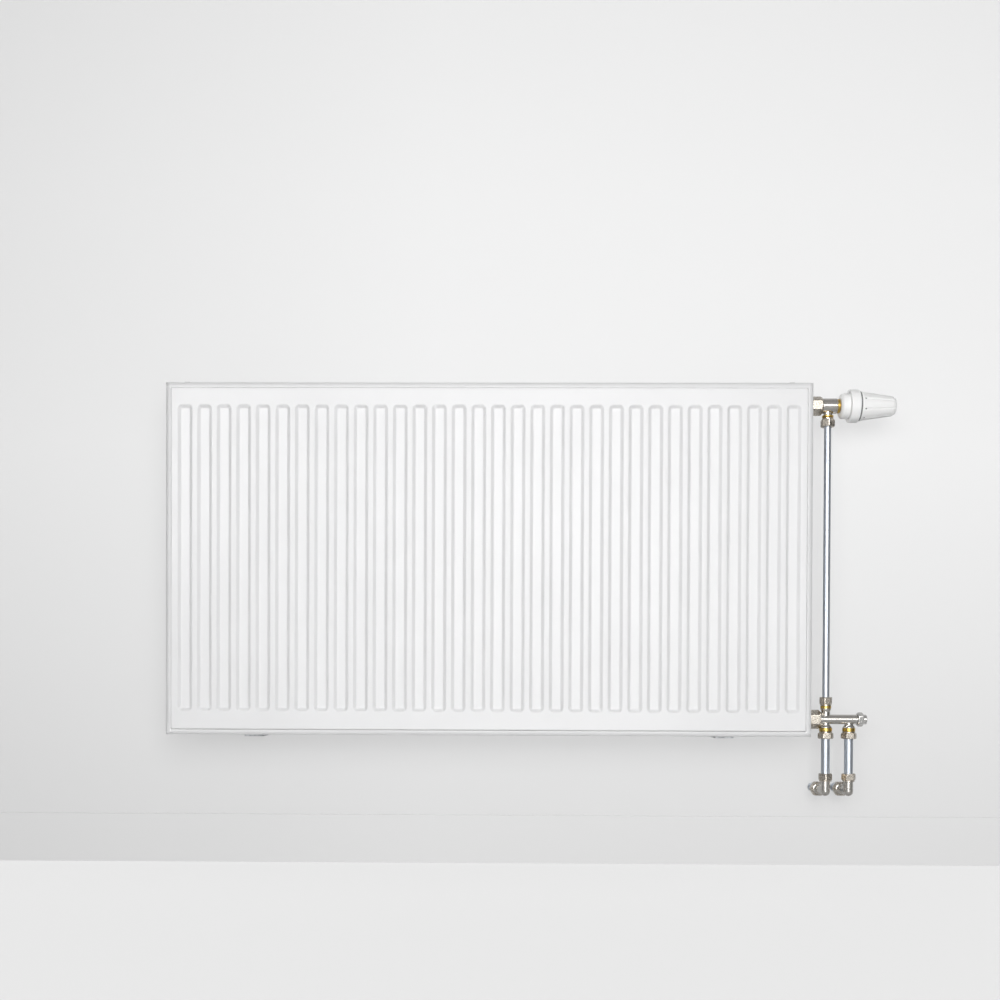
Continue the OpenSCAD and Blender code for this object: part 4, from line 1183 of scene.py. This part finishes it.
@dataclass
class ThermostaticHead:
    """The white head: a domed base, the scale ring, the grooved knob and its end cap."""

    layout: Layout
    base_r: float = 21.5
    base_round: float = 6.0
    base_len: float = 15.1
    base_mouth: float = 12.3
    base_neck: float = 11.0
    hollow_r: float = 13.2
    hollow_from: float = 20.0
    barrel_r: float = 15.5
    barrel_len: float = 52.0
    ring_r: float = 28.0
    ring_wall: float = 2.2
    ring_from: float = 15.4
    ring_to: float = 31.4
    knob_r: float = 25.3
    skirt_from: float = 27.4
    rim_from: float = 34.4
    grip_from: float = 38.4
    grip_to: float = 89.4
    knob_end: float = 92.4
    end_r: float = 17.0
    cap_r: float = 14.0
    wall: float = 2.0
    grooves: int = 8
    groove_w: float = 3.4
    groove_depth: float = 1.0

    @property
    def spindle(self) -> Spindle:
        """The head's line, from the valve towards the end cap."""
        return self.layout.line(self.layout.head_x, self.layout.valve_z, Direction.RIGHT)

    def build(self) -> None:
        """Makes the outside of the head."""
        grip = GripPlastic("grip_plastic", HEAD_PLASTIC.tone, start=self.spindle.place)
        for name, skin, finish, slot, node, body in (
                ("head_dome", self.base(), HEAD_PLASTIC, "head", "head_base", "radiator"),
                ("head_ring", self.ring(), HEAD_PLASTIC, "head", "scale_ring", "radiator"),
                ("grip_knob", self.knob(), grip, "head", "setting_knob", "knob"),
                ("grip_end_cap", self.end_cap(), CAP_PLASTIC, "head_cap", "knob_end_cap", "knob")):
            add_piece(name, [skin], finish, slot, node, body=body)

    def base(self) -> Skin:
        """Turns the base; its front edge is a quarter of an ellipse, then it runs straight."""
        a = np.radians(np.arange(0, 91, 7.5))
        curve = np.stack([self.base_r - self.base_round * (1 - np.sin(a)),
                          self.base_round * (1 - np.cos(a))], -1)
        neck = rounded([(self.base_r, self.base_len - 4), (self.base_r, self.base_len),
                        (self.barrel_r, self.base_len), (self.barrel_r, self.barrel_len),
                        (self.hollow_r, self.barrel_len), (self.hollow_r, self.hollow_from)], 0.5)
        seat = [[self.base_neck, self.hollow_from], [self.base_neck, 1.5], [self.base_mouth, 1.5]]
        outline = np.vstack([[[self.base_mouth, 0.0]], curve, neck, seat])
        return turned(outline, self.spindle, 96)

    def ring(self) -> Skin:
        """Turns the ring with its soft outer edges, hollow towards the knob."""
        r, t, low, high = self.ring_r, self.ring_wall, self.ring_from, self.ring_to
        outline = rounded([(self.barrel_r + 0.15, low), (r - 0.9, low), (r, low + 0.9),
                           (r, high - 0.9), (r - 0.9, high), (r - t, high), (r - t, low + t),
                           (self.barrel_r + 0.15, low + t)], 0.6, closed=True)
        return turned(outline, self.spindle, 128)

    def groove_cut(self, radius: Rows, height: Rows, angle: Rows) -> Rows:
        """Works out how deep the grooves are at each place of the grip.

        Across a groove the depth falls as 1 - smooth step of the arc's length over its half
        width; along it the groove opens wide behind the rim and runs out narrower.
        """
        sector = 2 * math.pi / self.grooves
        off = np.abs((angle / sector) % 1 - 0.5) * sector * radius
        opening = smooth_step((self.grip_from + 7.0 - height) / 5.0)
        half = self.groove_w / 2 * (1.0 + 0.5 * opening)
        start = smooth_step((height - self.grip_from - 0.4) / 1.2)
        depth = self.groove_depth * start * (0.9 + 0.5 * opening)
        return depth * (1 - smooth_step(off / half)) * (radius > self.cap_r + 2)

    def knob(self) -> Skin:
        """Makes the knob: a skirt in the ring, the rim, and the tapered grip with its grooves."""
        skirt = self.ring_r - self.ring_wall - 1.0
        shoulder = rounded([(skirt, self.skirt_from), (skirt, self.rim_from),
                            (self.knob_r, self.rim_from), (self.knob_r, self.grip_from - 0.8),
                            (self.knob_r - 1.0, self.grip_from)], 0.5)
        near_rim = self.grip_from + np.array([0.3, 0.6, 0.9, 1.2, 1.6, 2.2, 3.2, 4.5, 6, 8])
        heights = np.append(near_rim, np.linspace(self.grip_from + 12, self.grip_to - 3, 8))
        share = (heights - self.grip_from) / (self.grip_to - self.grip_from)
        taper = self.knob_r - 1.0 + (self.end_r - self.knob_r + 1.0) * share
        nose = rounded([(taper[-1], heights[-1]), (self.end_r, self.grip_to),
                        (self.end_r - 1.0, self.knob_end - 1), (self.cap_r + 1.0, self.knob_end),
                        (self.cap_r + 0.15, self.knob_end - 0.3),
                        (self.cap_r + 0.15, self.knob_end - 4)], 0.8)
        inside = np.array([[self.end_r - 2, self.knob_end - 4], [self.knob_r - 3, self.grip_from],
                           [self.barrel_r + 0.05, self.grip_from],
                           [self.barrel_r + 0.05, self.grip_from - 2],
                           [skirt - 2, self.grip_from - 2], [skirt - 2, self.skirt_from]])
        outline = np.vstack([shoulder, np.stack([taper, heights], -1), nose[1:], inside])
        half = np.array([0, 0.8, 1.6, 2.4, 3.2, 4.0, 4.8, 5.6, 6.6, 8, 11, 15, 19])
        sector = 360 / self.grooves
        part = np.concatenate([-half[:0:-1], half]) + sector / 2
        angle = np.radians(np.add.outer(sector * np.arange(self.grooves), part).ravel())[None]
        radius, height = outline[:, :1], outline[:, 1:]
        outside = (np.arange(len(outline)) < len(shoulder) + len(taper) + len(nose) - 3)[:, None]
        radius = radius - outside * self.groove_cut(radius, height, angle)
        return Skin(self.spindle.points(radius, angle, height))

    def end_cap(self) -> Skin:
        """Turns the end cap with a soft edge and a slightly domed face."""
        low = self.knob_end - 1.5 - self.wall
        outline = rounded([(0, low), (self.cap_r, low), (self.cap_r, self.knob_end + 2.2),
                           (self.cap_r - 1.6, self.knob_end + 3.3), (0, self.knob_end + 3.8)], 0.9)
        return turned(outline, self.spindle, 96)


# ---------- room ----------


@dataclass
class Room:
    """The pale wall that the radiator hangs on, and the floor under it.

    What the camera sees of a surface is partly its paint under the lamps and partly a glow that only
    the camera sees. On the floor the glow is even; on the wall it is painted light, stronger in the
    middle and weaker towards the floor, the top and the left, and it lightens the shadows cast on
    the wall. The floor is sheer: the white world shows through it.
    """

    wall_y: float = 0.001
    wall_top: float = 4.0
    floor_z: float = -0.535
    floor_front: float = -7.0
    floor_back: float = 5.0
    half_width: float = 6.0
    skirting_h: float = 0.086
    skirting_t: float = 0.012
    tone: float = 0.5
    glow: float = 0.4
    level: float = 1.5
    floor_tone: float = 0.86
    floor_glow: float = 0.8
    floor_level: float = 0.63
    floor_sheer: float = 0.5
    # painted light: the wall's glow is dimmed towards the left and ramped over the height, standing
    # in for how light falls across the wall
    dim_left: float = 0.86
    dim_over_x: tuple[float, float] = (-0.9, -0.1)
    ramp_top: float = 1.065
    ramp_over_z: tuple[tuple[float, float], ...] = (
        (0.0, 0.76), (0.12, 0.82), (0.24, 0.89), (0.47, 1.0), (0.75, 0.985), (1.0, 0.93))

    def plane(self, name: str, start: tuple[float, float], end: tuple[float, float],
              material: bpy.types.Material) -> None:
        """Makes a flat sheet across the room between two places, each a Y and a Z."""
        w = self.half_width
        mesh = bpy.data.meshes.new(name)
        mesh.from_pydata([(-w, *start), (w, *start), (w, *end), (-w, *end)], [], [(0, 1, 2, 3)])
        mesh.materials.append(material)
        piece = bpy.data.objects.new(name, mesh)
        bpy.context.scene.collection.objects.link(piece)

    def painted_wall_light(self, graph: Graph) -> Socket:
        """Adds the strength of the wall's painted light: a ramp over its height times one over X, so
        the wall glows more in its middle and less towards the floor, the top and the left.
        """
        split = graph.split(graph.points())
        over_x = graph.spread((split, "X"), *self.dim_over_x, self.dim_left * self.level,
                              self.level)
        over_z = graph.spread((split, "Z"), self.floor_z, self.ramp_top, 0.0, 1.0)
        return graph.maths("MULTIPLY", over_x, graph.ramp(over_z, greys(self.ramp_over_z)))

    def paint(self, name: str, tone: float, glow: float, strength: float = 0.0,
              sheer: float = 0.0) -> bpy.types.Material:
        """Makes matt paint that is seen from its front only, so nothing hides the back.

        Args:
            name: the material's name.
            tone: how light the paint is.
            glow: the share of what the camera sees that comes from the paint's own glow, which only
                the camera sees; on the wall that glow is painted light.
            strength: how strong that light is; at 0 it falls off as the wall's does, and the
                paint lets the lamp behind it light the radiator's back.
            sheer: the share of what lies behind that shows through the front.

        Returns:
            The material.
        """
        graph = Graph(name)
        points = graph.points()
        graph.tones(graph.noise(points, 1.4, 2.0), (tone * 0.985,) * 3, (tone,) * 3)
        graph.bump(graph.noise(points, 260.0, 3.0), 0.05, 0.0005)
        graph.settings(Roughness=0.9, Specular_IOR_Level=0.2)
        ray, light = graph.add("ShaderNodeLightPath"), graph.add("ShaderNodeEmission")
        if strength:
            light.inputs["Strength"].default_value = strength
        else:
            graph.join(self.painted_wall_light(graph), light, "Strength")
        # painted light: part of what the camera sees is the glow, which also lightens the shadows
        # that fall on the wall
        share = graph.maths("MULTIPLY", (ray, "Is Camera Ray"), glow)
        front = graph.mix_shaders(share, (graph.shader, "BSDF"), (light, "Emission"))
        back = (graph.add("ShaderNodeNewGeometry"), "Backfacing")
        clear = graph.maths("MAXIMUM", back, sheer or (ray, "Is Shadow Ray"))
        nothing = (graph.add("ShaderNodeBsdfTransparent"), "BSDF")
        graph.join(graph.mix_shaders(clear, front, nothing), graph.output, "Surface")
        return graph.material

    def build(self) -> None:
        """Makes the wall, the skirting board and the floor."""
        wall = self.paint("wall_paint", self.tone, self.glow)
        floor = self.paint("floor_paint", self.floor_tone, self.floor_glow, self.floor_level,
                           self.floor_sheer)
        y, z = self.wall_y, self.floor_z
        front, head = y - self.skirting_t, z + self.skirting_h
        for name, start, end, paint in (
                ("wall", (y, z), (y, self.wall_top), wall),
                ("skirting", (front, z), (front, head), wall),
                ("skirting_top", (front, head), (y, head), wall),
                ("floor", (self.floor_front, z), (self.floor_back, z), floor)):
            self.plane(name, start, end, paint)
        LOG.info("room: wall, skirting and floor")


def greys(stops: Iterable[tuple[float, float]]) -> list[tuple[float, Colour]]:
    """Turns stops of a position and a level into stops of a position and a grey."""
    return [(position, (level,) * 3) for position, level in stops]


@dataclass(frozen=True)
class Lamp:
    """A soft rectangular lamp: where it stands, what it looks at, its size and its power."""

    name: str
    place: Place
    target: Place
    size: tuple[float, float]
    power: float
    gloss_only: bool = False

    def build(self) -> None:
        """Makes the lamp; one that is for gloss only is seen in reflections and lights nothing."""
        data = bpy.data.lights.new(self.name, "AREA")
        data.shape = "RECTANGLE"
        data.size, data.size_y = self.size
        data.energy = self.power
        lamp = bpy.data.objects.new(self.name, data)
        lamp.visible_camera = False
        lamp.visible_diffuse = not self.gloss_only
        lamp.location = self.place
        way = Vector(self.target) - Vector(self.place)
        lamp.rotation_mode = "QUATERNION"
        lamp.rotation_quaternion = way.to_track_quat("-Z", "Y")
        bpy.context.scene.collection.objects.link(lamp)
        LOG.info("lamp %s: %.1f W", self.name, self.power)


@dataclass
class Studio:
    """The lamps, the world and the camera."""

    lamps: tuple[Lamp, ...] = (
        Lamp("front", (0.2, -2.9, 0.6), (0.05, 0.0, 0.2), (1.4, 1.3), 35.0),
        Lamp("strip", (0.35, -3.0, -0.1), (0.35, 0.0, -0.1), (0.5, 1.8), 7.5),
        Lamp("low", (0.0, -3.0, -0.42), (0.0, 0.0, -0.2), (1.6, 0.2), 7.0),
        Lamp("key", (-2.0, -5.0, 0.76), (0.0, 0.0, -0.1), (0.7, 0.7), 24.0),
        Lamp("side", (2.0, -5.0, 0.6), (0.0, 0.0, -0.1), (1.0, 1.0), 14.0),
        Lamp("window", (-1.27, -3.5, 0.9), (-0.45, 0.0, 0.2), (0.6, 0.5), 16.0, gloss_only=True),
        Lamp("behind", (0.3, 2.6, 0.9), (0.0, 0.0, 0.0), (2.0, 1.0), 36.0),
    )
    camera_place: Place = (0.046, -2.2, -0.216)
    camera_yaw: float = 0.687
    camera_pitch: float = -0.642
    camera_roll: float = 0.226
    focal: float = 43.74
    shift: float = 0.20
    sky_over_y: tuple[tuple[float, float], ...] = (
        (0.0, 0.4), (0.06, 0.32), (0.2, 0.14), (0.5, 0.05), (0.75, 0.1), (1.0, 0.25))
    sky_from_z: float = 0.2
    sky_above: float = 0.25

    def world(self) -> None:
        """Makes the world: a lit room in front, dim at the sides, brighter above.

        A direction's level comes from a ramp over its Y, from the front to the wall, plus a
        share of its Z above the horizon. Where the camera sees the world it is white.
        """
        world = bpy.data.worlds.new("studio")
        world.use_nodes = True
        nodes = Nodes(world.node_tree)
        split = nodes.split((nodes.add("ShaderNodeTexCoord"), "Generated"))
        depth = nodes.spread((split, "Y"), -1.0, 1.0, 0.0, 1.0)
        height = nodes.spread((split, "Z"), self.sky_from_z, 1.0, 0.0, self.sky_above)
        level = nodes.maths("ADD", nodes.ramp(depth, greys(self.sky_over_y)), height)
        seen = (nodes.add("ShaderNodeLightPath"), "Is Camera Ray")
        back = nodes.add("ShaderNodeBackground")
        nodes.join(nodes.mix_colours(seen, level, (1.0, 1.0, 1.0)), back, "Color")
        nodes.join((back, "Background"), nodes.add("ShaderNodeOutputWorld"), "Surface")
        bpy.context.scene.world = world

    def camera(self) -> None:
        """Makes the camera in front of the radiator, low and almost square to the wall."""
        data = bpy.data.cameras.new("front_camera")
        data.sensor_width = 36.0
        data.lens = self.focal
        data.shift_y = self.shift
        data.clip_end = 50.0
        camera = bpy.data.objects.new("front_camera", data)
        turn = (
            Matrix.Rotation(math.radians(self.camera_yaw), 3, "Z")
            @ Euler((math.radians(90 + self.camera_pitch), 0, 0)).to_matrix()
            @ Matrix.Rotation(math.radians(self.camera_roll), 3, "Z")
        )
        camera.location = self.camera_place
        camera.rotation_mode = "QUATERNION"
        camera.rotation_quaternion = turn.to_quaternion()
        bpy.context.scene.collection.objects.link(camera)
        bpy.context.scene.camera = camera
        bpy.context.scene.view_settings.view_transform = "Standard"

    def build(self) -> None:
        """Makes everything that lights and sees the object."""
        for lamp in self.lamps:
            lamp.build()
        self.world()
        self.camera()


def main() -> None:
    """Builds the whole scene."""
    logging.basicConfig(level=logging.INFO, format="%(name)s: %(message)s")
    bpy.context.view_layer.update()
    layout = Layout.from_frame()
    for dressing in DRESSINGS:
        dressing.build()
    Panels().build()
    Valve(layout).build()
    ThermostaticHead(layout).build()
    Manifold(layout).build()
    Pipework(layout).build()
    Room().build()
    Studio().build()


if __name__ == "__main__":
    main()
